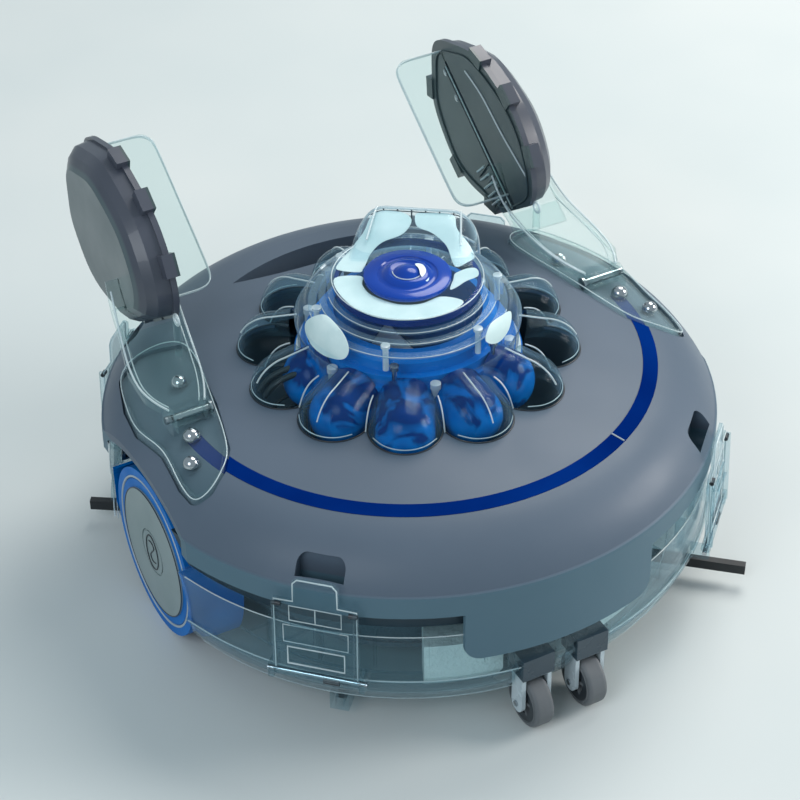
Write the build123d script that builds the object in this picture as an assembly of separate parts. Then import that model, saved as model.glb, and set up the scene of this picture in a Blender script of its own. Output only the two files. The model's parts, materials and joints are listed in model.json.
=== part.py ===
from build123d import *
import os
from math import asin, cos, degrees, radians, sin, sqrt

# Jet-driven cordless pool cleaner: round body on two wheels and four casters, swinging float fins.
# Millimetres, +Z up. The origin is on the body's vertical axis, at floor level. The front is -Y.

# ---------------------------------------------------------------- driving dimensions
BODY_R = 196.0          # radius of the step line round the shoulder
SKIRT_R = 197.6         # outer radius of the cover's skirt
SKIRT_WALL = 2.4
WALL = 3.0              # cover wall
STEP_Z = 121.0          # height of the step line
WINDOW_Z = 105.0        # skirt edge over the windows and wheel arches
LOBE_Z = 69.0           # skirt edge at the front and rear lobes
LOBE_HALF = 65.0        # half width of those lobes
FLAT_X = 187.0          # flat sides of the cover, over the wheels

CROWN_MID_R = 70.0      # where the top is level
CROWN_TOP_Z = 158.2
CROWN_ARC = 450.0
SHOULDER_START_R = 158.0

PETALS = 12
PETAL_AT = 86.0         # radius of the circle of petal noses
PETAL_R = 22.8
PETAL_WALL = 1.5
PETAL_Z = 157.0
PETAL_RISE = 6.0        # how much a petal's crest climbs towards the dome
PETAL_RUN = 22.0

RING_IN = 148.9         # blue trim ring
RING_OUT = 158.3
RING_DEPTH = 1.2
RING_HALF_ANGLE = 88.0

DOME_R = 74.0           # turning nozzle dome
DOME_WALL = 2.2
DOME_BASE_Z = 159.6
DOME_TOP_Z = 212.0
DOME_FLAT_R = 47.0
CAP_R = 27.0
SPOUT_REACH = 58.0      # distance of the mouth plane from the axis
SPOUT_TOP_Z = 225.0
SPOUT_HALF_TOP = 27.5
SPOUT_HALF_LOW = 39.0
NOZZLE_REST = -36.0     # mouth direction at rest, turned from +Y

BORE_R = 47.0           # pump bore
HOUSING_R = 70.0
IMPELLER_R = 45.8
SHAFT_R = 3.0
RUNNING = 0.05          # radial clearance of a running fit
GAP = 0.4               # air between bodies that move

WHEEL_R = 56.6
WHEEL_Y = 7.5
WHEEL_FACE_X = 182.0
WHEEL_WIDTH = 28.0
AXLE_R = 4.0
ARCH_R = 62.0

CASTER_R = 18.0
CASTER_WIDTH = 13.0
CASTER_X = 19.0
CASTER_Y = 188.0
CASTER_PIN_R = 2.0

TRAY_R = 195.0
TRAY_WALL = 2.5
TRAY_FLOOR_Z = 20.0
TRAY_FLOOR_R = 155.5    # floor panels end here, and the wall's foot begins
TRAY_RIM_Z = 52.0
TRAY_TOP_Z = 88.0
DECK_Z = 89.0

LATCH_ANGLE = 44.5
LATCH_WIDTH = 52.0
LATCH_HINGE_R = 203.0
LATCH_HINGE_Z = 58.0
LATCH_TOP_Z = 131.0
LATCH_PIN_R = 1.5

FIN_Y = 93.0            # lower edge of the fin blade
FIN_Z = 180.0
FIN_TILT = 35.2         # blade above the horizontal
FIN_LENGTH = 113.5
FIN_INNER_X = 90.0
FLOAT_X = 128.0         # plane of the float's inner face
FIN_THICK = 2.4
PIVOT_Y = 7.5
PIVOT_Z = 155.5
PIVOT_R = 2.5
POCKET_DEPTH = 3.0      # seat of a fin bracket, below the cover's skin
PLATE = 2.5             # thickness of the clear bracket plate
LEG_X0 = 140.0          # hub of the fin's leg, across the pivot
LEG_X1 = 160.0
LEG_HUB_R = 6.0
PIN_HEAD_R = 4.2
EAR_R = 7.0             # bracket's ears beside the leg's hub
EAR_ROOM = 6.0
LEG_SKIN = 2.4
LEG_RIM = 4.0           # depth of the leg's edge rims

UP = (Align.CENTER, Align.CENTER, Align.MIN)

# ---------------------------------------------------------------- derived profile of the top
CROWN_CZ = CROWN_TOP_Z - CROWN_ARC
START_SLOPE = asin((SHOULDER_START_R - CROWN_MID_R) / CROWN_ARC)
START_Z = CROWN_CZ + CROWN_ARC * cos(START_SLOPE)
DR = BODY_R - SHOULDER_START_R
DZ = START_Z - STEP_Z
SHOULDER_ARC = (DR**2 + DZ**2) / (2 * (DZ * cos(START_SLOPE) - DR * sin(START_SLOPE)))
SHOULDER_CR = SHOULDER_START_R - SHOULDER_ARC * sin(START_SLOPE)
SHOULDER_CZ = START_Z - SHOULDER_ARC * cos(START_SLOPE)


def top_point(radius, lift=0.0):
    """Point (radius, z) on the cover's outer profile, moved out by lift along its normal."""
    tangent_r = SHOULDER_START_R + lift * sin(START_SLOPE)
    if radius <= tangent_r:
        return (radius, CROWN_CZ + sqrt((CROWN_ARC + lift) ** 2 - (radius - CROWN_MID_R) ** 2))
    return (radius, SHOULDER_CZ + sqrt((SHOULDER_ARC + lift) ** 2 - (radius - SHOULDER_CR) ** 2))


def profile_edges(lift, inner, outer):
    """Arcs of the cover's profile between two radii, at a distance from the outer skin."""
    joint = SHOULDER_START_R + lift * sin(START_SLOPE)
    if outer <= joint:
        mid = (inner + outer) / 2
        return [ThreePointArc(*[top_point(r, lift) for r in (inner, mid, outer)])]
    if inner >= joint:
        mid = (inner + outer) / 2
        return [ThreePointArc(*[top_point(r, lift) for r in (inner, mid, outer)])]
    crown = [top_point(r, lift) for r in (inner, (inner + joint) / 2, joint)]
    shoulder = [crown[-1]] + [top_point(r, lift) for r in ((joint + outer) / 2, outer)]
    return [ThreePointArc(*crown), ThreePointArc(*shoulder)]


def spin(edges, angle=360.0, start=0.0):
    """Revolve a closed (radius, z) outline about Z, from start degrees after +X."""
    face = Plane.XZ * make_face(edges)
    return Rot(0, 0, start) * revolve(face, Axis.Z, angle)


def turned(points, angle=360.0, start=0.0):
    """Revolve a polygon of (radius, z) points about Z."""
    return spin(Polyline(*points, close=True), angle, start)


def band(low, high, inner, outer, angle=360.0, start=0.0):
    """Shell that follows the cover between two distances from its skin and two radii."""
    lower = profile_edges(low, inner, outer)
    upper = profile_edges(high, inner, outer)
    sides = [Line(lower[0] @ 0, upper[0] @ 0), Line(lower[-1] @ 1, upper[-1] @ 1)]
    return spin(lower + upper + sides, angle, start)


def tube(outer, inner, z0, z1):
    return turned([(inner, z0), (outer, z0), (outer, z1), (inner, z1)])


def rod(radius, start, end):
    """Cylinder between two points."""
    axis = Vector(*end) - Vector(*start)
    return extrude(Plane(origin=start, z_dir=axis) * Circle(radius), axis.length)


def across_x(radius, x0, x1, y, z):
    return rod(radius, (x0, y, z), (x1, y, z))


def block(x0, x1, y0, y1, z0, z1):
    return Pos(x0, y0, z0) * Box(x1 - x0, y1 - y0, z1 - z0, align=(Align.MIN,) * 3)


def mirrored(shape):
    return mirror(shape, about=Plane.YZ)


def both_sides(shape):
    return [shape, mirrored(shape)]


def at_angle(shape, degrees_from_front):
    """Turn a shape modelled at the front, -Y, round the body."""
    return Rot(0, 0, degrees_from_front) * shape


def joined(shapes):
    result = shapes[0]
    for shape in shapes[1:]:
        result = result + shape
    return result


def save(name, *solids):
    """Write one node; several solids stay separate inside it."""
    flat = [s for shape in solids for s in shape.solids()]
    part = flat[0] if len(flat) == 1 else Compound(children=flat)
    export_step(part, f"parts/{name}.step")


# ---------------------------------------------------------------- top cover
BRACKET_PLAN = [
    (120, 78),
    (131, 10),
    (142, -32),
    (152, -47),
    (165, -56),
    (175, -54),
    (177, -38),
    (175, -8),
    (179, 22),
    (175, 50),
    (164, 84),
    (148, 92),
]


def plan_prism(points, z0, z1, grow=0.0, round_by=6.0):
    face = make_face(Polyline(*points, close=True))
    face = fillet(face.vertices(), round_by)
    if grow:
        face = offset(face, grow)
    return Pos(0, 0, z0) * extrude(face, z1 - z0)


def petal_plan(radius, inner):
    """Outline of the scalloped hole as a flat sketch."""
    sketch = Circle(inner)
    for i in range(PETALS):
        turn = radians(360 / PETALS * i)
        sketch += Pos(PETAL_AT * sin(turn), PETAL_AT * cos(turn)) * Circle(radius)
    return sketch


def grip_plan(grow=0.0):
    end = (64.0, 125.6)
    outer = ThreePointArc((-end[0], end[1]), (0, 141), end)
    inner = ThreePointArc(end, (0, 115), (-end[0], end[1]))
    face = make_face([outer, inner])
    return offset(face, grow) if grow else face


def skirt_keep():
    """Prism that leaves the front and rear lobes of the skirt."""
    face = Rectangle(2 * LOBE_HALF, 2 * (WINDOW_Z - LOBE_Z))
    lobe = fillet(face.vertices(), 10)
    return Pos(0, 230, WINDOW_Z) * extrude(Plane.XZ * lobe, 460)


def latch_pocket(grow=0.0):
    sketch = Rectangle(30 + 2 * grow, 26 + 2 * grow)
    shape = extrude(Plane.XZ * fillet(sketch.vertices(), 6 + grow), 12 + grow)
    return Pos(0, -181 + grow, 124) * shape


def under_skin(depth):
    """Everything inside the cover's outline, down to a depth below its skin."""
    edges = profile_edges(-depth, 60, BODY_R - depth - 0.2)
    low = [Line(edges[-1] @ 1, (BODY_R - depth - 0.2, 60)), Line((BODY_R - depth - 0.2, 60), (60, 60))]
    return spin(edges + low + [Line((60, 60), edges[0] @ 0)])


def top_cover():
    outer = profile_edges(0, 60, BODY_R)
    inner = profile_edges(-WALL, 60, BODY_R - WALL)
    inside = SKIRT_R - SKIRT_WALL
    skirt = [
        outer[-1] @ 1,
        (SKIRT_R - 0.3, STEP_Z - 0.8),
        (SKIRT_R, STEP_Z - 2.5),
        (SKIRT_R, LOBE_Z),
        (inside, LOBE_Z),
        (inside, STEP_Z - 5),
        inner[-1] @ 1,
    ]
    cover = spin(outer + inner + [Polyline(*skirt), Line(inner[0] @ 0, outer[0] @ 0)])
    cover -= Pos(0, 0, 130) * extrude(petal_plan(PETAL_R + 0.4, 88.4), 40)
    cover -= turned([(185, 50), (210, 50), (210, WINDOW_Z), (185, WINDOW_Z)]) - skirt_keep()
    for side in (1, -1):
        x0, x1 = sorted((150 * side, 215 * side))
        cover -= across_x(ARCH_R, x0, x1, WHEEL_Y, WHEEL_R)
        x0, x1 = sorted((FLAT_X * side, 215 * side))
        cover -= block(x0, x1, -90, 90, 60, 160)
    ring = band(-RING_DEPTH, 1, RING_IN - 0.1, RING_OUT + 0.1, 2 * RING_HALF_ANGLE + 0.4,
                270 - RING_HALF_ANGLE - 0.2)
    cover -= ring
    cover = add_grip(cover)
    for side in (1, -1):
        plan = [(side * x, y) for x, y in BRACKET_PLAN]
        cover = add_pocket(cover, plan) - floor_ring(plan, 1.5, 0.1, 0.0)
    cover = (cover - hub_room()) - mirrored(hub_room())
    liner = (latch_pocket(2) & under_skin(0.4)) - latch_pocket()
    for angle in (LATCH_ANGLE, -LATCH_ANGLE, 180 - LATCH_ANGLE, 180 + LATCH_ANGLE):
        cover = (cover - at_angle(latch_pocket(), angle)) + at_angle(liner, angle)
    return cover


def hub_room():
    """Space that the hub of a fin's leg turns in."""
    return across_x(LEG_HUB_R + 0.6, LEG_X0 - 0.5, LEG_X1 + 0.5, PIVOT_Y, PIVOT_Z)


def add_grip(cover):
    """Finger well of the carrying grip, open at the top."""
    well = Pos(0, 0, 118) * extrude(grip_plan(2.5), 50)
    well &= under_skin(1.0)
    room = Pos(0, 0, 120.5) * extrude(grip_plan(), 60)
    return (cover + well) - room


def add_pocket(cover, plan):
    """Sunk seat under a fin bracket, with its own floor and walls."""
    floor = band(-POCKET_DEPTH - WALL, -RING_DEPTH - 0.3, 110, 192) & plan_prism(plan, 90, 175, 4.5)
    room = band(-POCKET_DEPTH, 6, 110, 192) & plan_prism(plan, 90, 175, 1.5)
    arch = across_x(ARCH_R, 150, 215, WHEEL_Y, WHEEL_R)
    arch = arch + across_x(ARCH_R, -215, -150, WHEEL_Y, WHEEL_R)
    return ((cover + floor) - room) - arch


def floor_ring(plan, grow, wide, gap):
    """Stretch of the trim ring that runs on across the floor of a bracket's seat."""
    stretch = band(-POCKET_DEPTH - RING_DEPTH + gap, -POCKET_DEPTH + 0.05 - gap, RING_IN - wide, RING_OUT + wide,
                   2 * (RING_HALF_ANGLE + wide), 270 - RING_HALF_ANGLE - wide)
    return stretch & plan_prism(plan, 90, 175, grow)


def trim_ring():
    ring = band(-RING_DEPTH + 0.05, 0.25, RING_IN, RING_OUT, 2 * RING_HALF_ANGLE, 270 - RING_HALF_ANGLE)
    pocket = plan_prism(BRACKET_PLAN, 90, 175, 1.7)
    across = floor_ring(BRACKET_PLAN, 1.3, 0.0, 0.1)
    return [(ring - pocket) - mirrored(pocket), across, mirrored(across)]


# ---------------------------------------------------------------- petal collar
def petal(radius):
    """Capsule that lies along +Y and rises towards the axis."""
    nose = (0, PETAL_AT, PETAL_Z)
    heel = (0, PETAL_AT - PETAL_RUN - 18, PETAL_Z + PETAL_RISE)
    return Pos(*nose) * Sphere(radius) + rod(radius, nose, heel)


def petal_collar():
    half = 180 / PETALS
    reach = 130.0
    side = reach * sin(radians(half)) / cos(radians(half))
    wedge = Pos(0, 0, 150.6) * extrude(make_face(Polyline((0, 0), (side, reach), (-side, reach), close=True)), 60)
    hood = (petal(PETAL_R) - petal(PETAL_R - PETAL_WALL)) & wedge
    hood -= Pos(0, 0, 140) * Cylinder(DOME_R + 1.0, 80, align=UP)
    piece = hood + (tube(111.5, DOME_R + 1.0, 150.6, 152.6) & (Pos(0, 0, -4) * wedge))
    piece -= petal(PETAL_R - PETAL_WALL)
    return joined([Rot(0, 0, 360 / PETALS * i) * piece for i in range(PETALS)])


# ---------------------------------------------------------------- pump and nozzle
def pump_housing():
    outline = [
        (BORE_R, 96),
        (BORE_R + 12, 84),
        (HOUSING_R, 84),
        (HOUSING_R, 150),
        (HOUSING_R + 2.5, 150),
        (HOUSING_R + 2.5, 158),
        (HOUSING_R - 1.6, 158),
        (HOUSING_R - 1.6, 166),
        (HOUSING_R - 5, 166),
        (HOUSING_R - 5, 172),
        (HOUSING_R - 9, 172),
        (HOUSING_R - 9, 178),
        (HOUSING_R - 14, 178),
        (HOUSING_R - 14, 185),
        (BORE_R + 4, 190),
        (BORE_R, 190),
    ]
    return turned(outline)


def nozzle_bearing():
    return tube(HOUSING_R + 1.5, HOUSING_R - 1.55, 158.05, 160.5) - tube(90, HOUSING_R + 0.6, 159, 162)


def dome_outline(inset):
    """Closed half-outline of the dome, inset from its outer skin."""
    side = DOME_R - inset
    top = DOME_TOP_Z - inset
    flat = DOME_FLAT_R - inset * 0.4
    return [
        Line((0, DOME_BASE_Z - inset), (side, DOME_BASE_Z - inset)),
        Line((side, DOME_BASE_Z - inset), (side, 180)),
        ThreePointArc((side, 180), (67.5 - inset * 0.85, 196.5 - inset * 0.4), (flat, top)),
        Line((flat, top), (0, top)),
        Line((0, top), (0, DOME_BASE_Z - inset)),
    ]


def spout(inset):
    """Raised duct over the dome, with its mouth in the plane y = SPOUT_REACH."""
    top = SPOUT_TOP_Z - inset
    corners = [
        (-SPOUT_HALF_LOW + inset, 188),
        (-SPOUT_HALF_TOP + inset, top),
        (SPOUT_HALF_TOP - inset, top),
        (SPOUT_HALF_LOW - inset, 188),
    ]
    start = 6.0 + inset
    solid = Pos(0, SPOUT_REACH + 0.02 * inset, 0) * extrude(
        Plane.XZ * make_face(Polyline(*corners, close=True)), SPOUT_REACH - start)
    low = DOME_TOP_Z - inset - 0.4
    roof = [(start - 1, low), (20, low), (SPOUT_REACH + 1, top), (SPOUT_REACH + 1, top + 20), (start - 1, top + 20)]
    cutter = Pos(-60, 0, 0) * extrude(Plane.YZ * make_face(Polyline(*roof, close=True)), 120)
    return solid - cutter


def nozzle_dome():
    dome = spin(dome_outline(0)) + spout(0)
    dome -= spin(dome_outline(DOME_WALL))
    dome -= spout(DOME_WALL)
    dome -= Pos(0, 0, DOME_TOP_Z - 10) * Cylinder(CAP_R + 0.1, 20, align=UP)
    dome += tube(DOME_R + 0.7, DOME_R - 1, 183, 185)
    teeth = [block(x - 0.6, x + 0.6, SPOUT_REACH - 3, SPOUT_REACH - 0.5, 214, SPOUT_TOP_Z - 1)
             for x in (-20, -12, -4, 4, 12, 20)]
    dome = joined([dome] + teeth)
    web = tube(DOME_R - 1, 61, 185.5, 187.5) - block(-40, 40, 20, 80, 180, 192)
    return Rot(0, 0, NOZZLE_REST) * (dome + web)


def nozzle_cap():
    outline = [
        (0, 208),
        (6, 208),
        (CAP_R, 211.5),
        (CAP_R, 214.5),
        (25.5, 216),
        (20, 216),
        (18.5, 214.8),
        (17, 216.4),
        (14, 219.5),
        (11, 220.4),
        (8.5, 219.2),
        (6, 220.8),
        (0, 221.4),
    ]
    return turned(outline)


def nozzle_screws():
    screws = []
    for i in range(5):
        shank = rod(1.6, (0, 65.5, 180.5), (0, 65.5, 190.5)) + rod(3.0, (0, 65.5, 187.5), (0, 65.5, 190.5))
        screws.append(Rot(0, 0, NOZZLE_REST + 60 + 60 * i) * shank)
    return screws


def impeller():
    hub = turned([(SHAFT_R, 122), (14, 122), (14, 142), (10, 149), (5, 152), (SHAFT_R, 152)])
    blades = []
    for i in range(5):
        blade = Pos(0, 27, 133) * Rot(0, 38, 0) * Box(2.4, 44, 30)
        blades.append(Rot(0, 0, 72 * i) * blade)
    rotor = joined([hub] + blades)
    rotor &= tube(IMPELLER_R, SHAFT_R, 120, 155)
    return rotor


def pump_shaft():
    return rod(SHAFT_R, (0, 0, 80), (0, 0, 152))


def motor_case():
    case = turned([(27, 70), (27, 114), (SHAFT_R + 5, 117), (SHAFT_R + 5, 112.5), (24.6, 112.5), (24.6, 72.5),
                   (0, 72.5), (0, 70)])
    arms = [Rot(0, 0, 120 * i) * block(-2, 2, 26, BORE_R - 0.1, 98, 110) for i in range(3)]
    return joined([case] + arms)


def motor():
    can = turned([(SHAFT_R + RUNNING, 76), (22, 76), (22, 108), (SHAFT_R + RUNNING, 108)])
    tail = turned([(0, 73), (12, 73), (12, 76), (SHAFT_R + RUNNING, 76), (SHAFT_R + RUNNING, 79), (0, 79)])
    return can + tail


def motor_bearings():
    return [tube(8, SHAFT_R + RUNNING, 108.2, 111.8)]


def shaft_seal():
    return tube(8, SHAFT_R + RUNNING, 112.4, 117)


def motor_lead():
    """Two-core lead that arches over from the pump housing to the deck inside a side petal."""
    leads = []
    for y in (-5.0, 5.0):
        near = -HOUSING_R - 2.0
        far = -95.0
        low = DECK_Z + 3.2
        top = 146.0 - (near - far) / 2
        over = ThreePointArc((near, y, top), ((near + far) / 2, y, 146.0), (far, y, top))
        down = Line((far, y, top), (far, y, low))
        tail = Line((near, y, low), (near, y, top))
        path = Wire([tail, over, down])
        section = Plane(origin=path @ 0, z_dir=path % 0) * Circle(1.3)
        leads.append(sweep(section, path))
    return leads


# ---------------------------------------------------------------- dry electronics
def battery_case():
    outside = block(-62, 62, -150, -90, DECK_Z + 3, 138)
    return outside - block(-60, 60, -148, -92, DECK_Z + 5, 140)


def battery_lid():
    return block(-62, 62, -150, -90, 138, 141) + block(-59.8, 59.8, -147.8, -92.2, 135, 138)


def battery_cells():
    cells = []
    for row in range(2):
        for i in range(3):
            y = -120 + 18.6 * (i - 1)
            cells.append(across_x(9.2, -56 + 57 * row, -1 + 57 * row, y, DECK_Z + 15))
    return cells


def control_board():
    board = block(-55, 55, -142, -96, 125, 126.6)
    chips = [block(-30 + 24 * i, -16 + 24 * i, -126, -112, 126.6, 129) for i in range(3)]
    return joined([board] + chips)


def chassis_deck():
    deck = tube(187, HOUSING_R + 0.2, DECK_Z, DECK_Z + 3)
    deck += tube(187, 184.5, DECK_Z, 107)
    return wheel_room(deck) - block(-42, 42, 172, 200, DECK_Z + 3.5, 125)


BUTTON_X = -28.0
PORT_X = 22.0
PANEL_Z = 104.0


def panel_holes(cover):
    """Rear lobe of the skirt: round button hole and charging socket hole."""
    cover -= rod(8.3, (BUTTON_X, 180, PANEL_Z), (BUTTON_X, 210, PANEL_Z))
    cover -= rod(9.2, (PORT_X, 180, PANEL_Z), (PORT_X, 210, PANEL_Z))
    return cover


def power_button():
    return rod(8.0, (BUTTON_X, 190, PANEL_Z), (BUTTON_X, 196.8, PANEL_Z)) + rod(
        3.0, (BUTTON_X, 187.6, PANEL_Z), (BUTTON_X, 190, PANEL_Z))


def button_switch():
    return block(BUTTON_X - 10, BUTTON_X + 10, 172, 183.5, PANEL_Z - 3, PANEL_Z + 10)


def charge_port():
    barrel = rod(9.0, (PORT_X, 176, PANEL_Z), (PORT_X, 194.8, PANEL_Z))
    return barrel - rod(6.0, (PORT_X, 182, PANEL_Z), (PORT_X, 196, PANEL_Z))


def charge_cap():
    plate = rod(12.5, (PORT_X, 198.4, PANEL_Z), (PORT_X, 200.8, PANEL_Z))
    plug = rod(5.6, (PORT_X, 195.2, PANEL_Z), (PORT_X, 198.4, PANEL_Z))
    knuckle = across_x(2.0, PORT_X - 7, PORT_X + 7, 200.6, PANEL_Z + 13.6)
    tab = block(PORT_X - 7, PORT_X + 7, 198.8, 200.8, PANEL_Z + 9, PANEL_Z + 13.6)
    return plate + plug + tab + knuckle


# ---------------------------------------------------------------- filter tray
def tray_outline():
    wall = TRAY_WALL
    return [
        (TRAY_FLOOR_R, TRAY_FLOOR_Z),
        (172, TRAY_FLOOR_Z),
        (184, 27),
        (192, 40),
        (TRAY_R, TRAY_RIM_Z),
        (TRAY_R + 2, TRAY_RIM_Z),
        (TRAY_R + 2, TRAY_RIM_Z + 3),
        (TRAY_R, TRAY_RIM_Z + 4),
        (TRAY_R, TRAY_TOP_Z),
        (186, TRAY_TOP_Z),
        (186, TRAY_TOP_Z - 2),
        (TRAY_R - wall, TRAY_TOP_Z - 2.5),
        (TRAY_R - wall, 52),
        (189.8, 41.2),
        (182.2, 28.8),
        (171.4, TRAY_FLOOR_Z + wall),
        (TRAY_FLOOR_R, TRAY_FLOOR_Z + wall),
    ]


INLET_HALF = 62.0
INLET_Y = 62.0
INLET_DEPTH = 18.0
INLET_TOP_Z = 40.0


def wheel_room(shape):
    """Cuts the room of both wheels out of a shape."""
    for x0, x1 in ((148, 215), (-215, -148)):
        shape -= across_x(ARCH_R + 3, x0, x1, WHEEL_Y, WHEEL_R)
    return shape


def filter_tray():
    """Clear wall of the tray, cut back for the wheels and the casters."""
    tray = wheel_room(turned(tray_outline()))
    for sign in (1, -1):
        for x in (-CASTER_X, CASTER_X):
            y0, y1 = sorted((sign * 163, sign * 215))
            tray -= block(x - 13.2, x + 13.2, y0, y1, 5, 58.2)
    ribs = []
    for i in range(36):
        angle = 10.0 * i + 5
        if 62 < angle % 180 < 118:
            continue
        ribs.append(at_angle(block(-0.9, 0.9, -TRAY_R + 2, -186, 60, TRAY_TOP_Z - 2), angle))
    return joined([tray] + ribs)


def tray_floor():
    """Floor panels round the two inlets: front, middle and rear, and one beside each end of an inlet."""
    disc = tube(TRAY_FLOOR_R, 0, TRAY_FLOOR_Z, TRAY_FLOOR_Z + TRAY_WALL)
    near = INLET_Y - INLET_DEPTH / 2
    far = INLET_Y + INLET_DEPTH / 2
    panels = [disc & block(-148, 148, -near, near, 10, 30)]
    for y0, y1 in ((-far, -near), (near, far)):
        panels.append(disc & block(INLET_HALF, 200, y0, y1, 10, 30))
        panels.append(disc & block(-200, -INLET_HALF, y0, y1, 10, 30))
    for y0, y1 in ((-200, -far), (far, 200)):
        panels.append(disc & block(-200, 200, y0, y1, 10, 30))
    return [wheel_room(panel) for panel in panels]


def inlet_frames():
    frames = []
    for sign in (1, -1):
        y = sign * INLET_Y
        half = INLET_DEPTH / 2
        frame = block(-INLET_HALF, INLET_HALF, y - half, y + half, 14, INLET_TOP_Z)
        frame -= block(-INLET_HALF + 2, INLET_HALF - 2, y - half + 2, y + half - 2, 10, 50)
        frames.append(frame)
    return frames


def inlet_flap(sign):
    """Rubber flap that lies on an inlet and lifts as the water comes in."""
    y = sign * INLET_Y
    half = INLET_DEPTH / 2
    plate = block(-INLET_HALF + 1, INLET_HALF - 1, y - half, y + half + 1, INLET_TOP_Z + 0.4, INLET_TOP_Z + 2.4)
    return plate + across_x(1.6, -INLET_HALF + 1, INLET_HALF - 1, y + half + 1, INLET_TOP_Z + 2.2)


def filter_screen():
    screen = tube(132, 130.6, 23, 87)
    frame = [tube(134, 129, 22.6, 26), tube(134, 129, 84, 88)]
    posts = [Rot(0, 0, 30 * i + 15) * block(-2, 2, 129, 134, 24, 86) for i in range(12)]
    return joined([screen] + frame + posts)


def filter_foam():
    pads = []
    for angle in (-18, 18, 162, 198):
        pad = turned([(150, 24), (168, 24), (176, 36), (176, 62), (150, 62)], 16, 262)
        pads.append(at_angle(pad, angle))
    return pads


# outline just inside the tray's outer skin, which the fenders stay within
FENDER_LIMIT = [(0, 21), (171, 21), (182.6, 27.6), (190.5, 40.4), (193.4, TRAY_RIM_Z), (193.4, 85), (0, 85)]


def wheel_fenders():
    outer = across_x(ARCH_R + 2.8, 149, 188, WHEEL_Y, WHEEL_R) - across_x(ARCH_R + 0.6, 151.2, 200, WHEEL_Y, WHEEL_R)
    outer -= rod(AXLE_R + 0.1, (140, WHEEL_Y, WHEEL_R), (200, WHEEL_Y, WHEEL_R))
    return both_sides(outer & turned(FENDER_LIMIT))


# ---------------------------------------------------------------- wheels
def wheel_tyre():
    inner_x = WHEEL_FACE_X - WHEEL_WIDTH
    tyre = across_x(WHEEL_R - 2.2, inner_x, WHEEL_FACE_X - 1.2, 0, 0)
    tyre -= across_x(43.4, inner_x - 1, WHEEL_FACE_X + 1, 0, 0)
    tyre += across_x(WHEEL_R, WHEEL_FACE_X - 6, WHEEL_FACE_X - 1.2, 0, 0) - across_x(
        43.4, WHEEL_FACE_X - 7, WHEEL_FACE_X, 0, 0)
    lug = block(inner_x, WHEEL_FACE_X - 6, -1.5, 1.5, WHEEL_R - 3.2, WHEEL_R - 0.01)
    lugs = [Rot(8.0 * i, 0, 0) * lug for i in range(45)]
    groove = across_x(50.6, WHEEL_FACE_X - 2, WHEEL_FACE_X, 0, 0) - across_x(49, WHEEL_FACE_X - 3, WHEEL_FACE_X + 1, 0, 0)
    tyre = joined([tyre] + lugs) - groove
    return Pos(0, WHEEL_Y, WHEEL_R) * tyre


def wheel_hub():
    inner_x = WHEEL_FACE_X - WHEEL_WIDTH
    hub = across_x(43.4, WHEEL_FACE_X - 4, WHEEL_FACE_X, 0, 0)
    hub += across_x(43.4, inner_x, WHEEL_FACE_X, 0, 0) - across_x(40, inner_x - 1, WHEEL_FACE_X - 4, 0, 0)
    hub += across_x(9, inner_x + 1, WHEEL_FACE_X, 0, 0)
    spokes = [Rot(60 * i, 0, 0) * block(inner_x + 3, WHEEL_FACE_X - 3, -1.5, 1.5, 8, 41) for i in range(6)]
    hub = joined([hub] + spokes)
    hub -= across_x(16, WHEEL_FACE_X - 0.8, WHEEL_FACE_X + 1, 0, 0) - across_x(14.6, 100, 200, 0, 0)
    hub -= across_x(AXLE_R + RUNNING, inner_x - 5, WHEEL_FACE_X - 6, 0, 0)
    return Pos(0, WHEEL_Y, WHEEL_R) * hub


def wheel_axle():
    axle = across_x(AXLE_R, 144, WHEEL_FACE_X - 6.5, WHEEL_Y, WHEEL_R)
    return axle + across_x(8, 143, 149, WHEEL_Y, WHEEL_R)


def caster_wheel(x, y):
    wheel = across_x(CASTER_R, -CASTER_WIDTH / 2, CASTER_WIDTH / 2, 0, 0)
    wheel = fillet(wheel.edges().filter_by(GeomType.CIRCLE), 2.5)
    for x0, x1 in ((-CASTER_WIDTH / 2 - 1, -2), (2, CASTER_WIDTH / 2 + 1)):
        recess = across_x(13.2, x0, x1, 0, 0) - across_x(4.2, x0 - 1, x1 + 1, 0, 0)
        for i in range(5):
            recess -= Rot(72 * i, 0, 0) * block(x0 - 1, x1 + 1, -1, 1, 3, 14)
        wheel -= recess
    wheel -= across_x(CASTER_PIN_R + RUNNING, -10, 10, 0, 0)
    return Pos(x, y, CASTER_R) * wheel


def caster_fork(x, sign):
    y = sign * CASTER_Y
    top = block(x - 11, x + 11, *sorted((y + sign * 8, y - sign * 10)), 42, 58)
    ears = []
    for x0, x1 in ((x - 10.4, x - 7.6), (x + 7.6, x + 10.4)):
        ear = block(x0, x1, y - 6, y + 6, CASTER_R, 43) + across_x(6, x0, x1, y, CASTER_R)
        ears.append(ear)
    fork = joined([top] + ears)
    return fork - across_x(CASTER_PIN_R, x - 20, x + 20, y, CASTER_R)


def caster_pin(x, sign):
    return across_x(CASTER_PIN_R, x - 11.5, x + 11.5, sign * CASTER_Y, CASTER_R)


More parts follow.
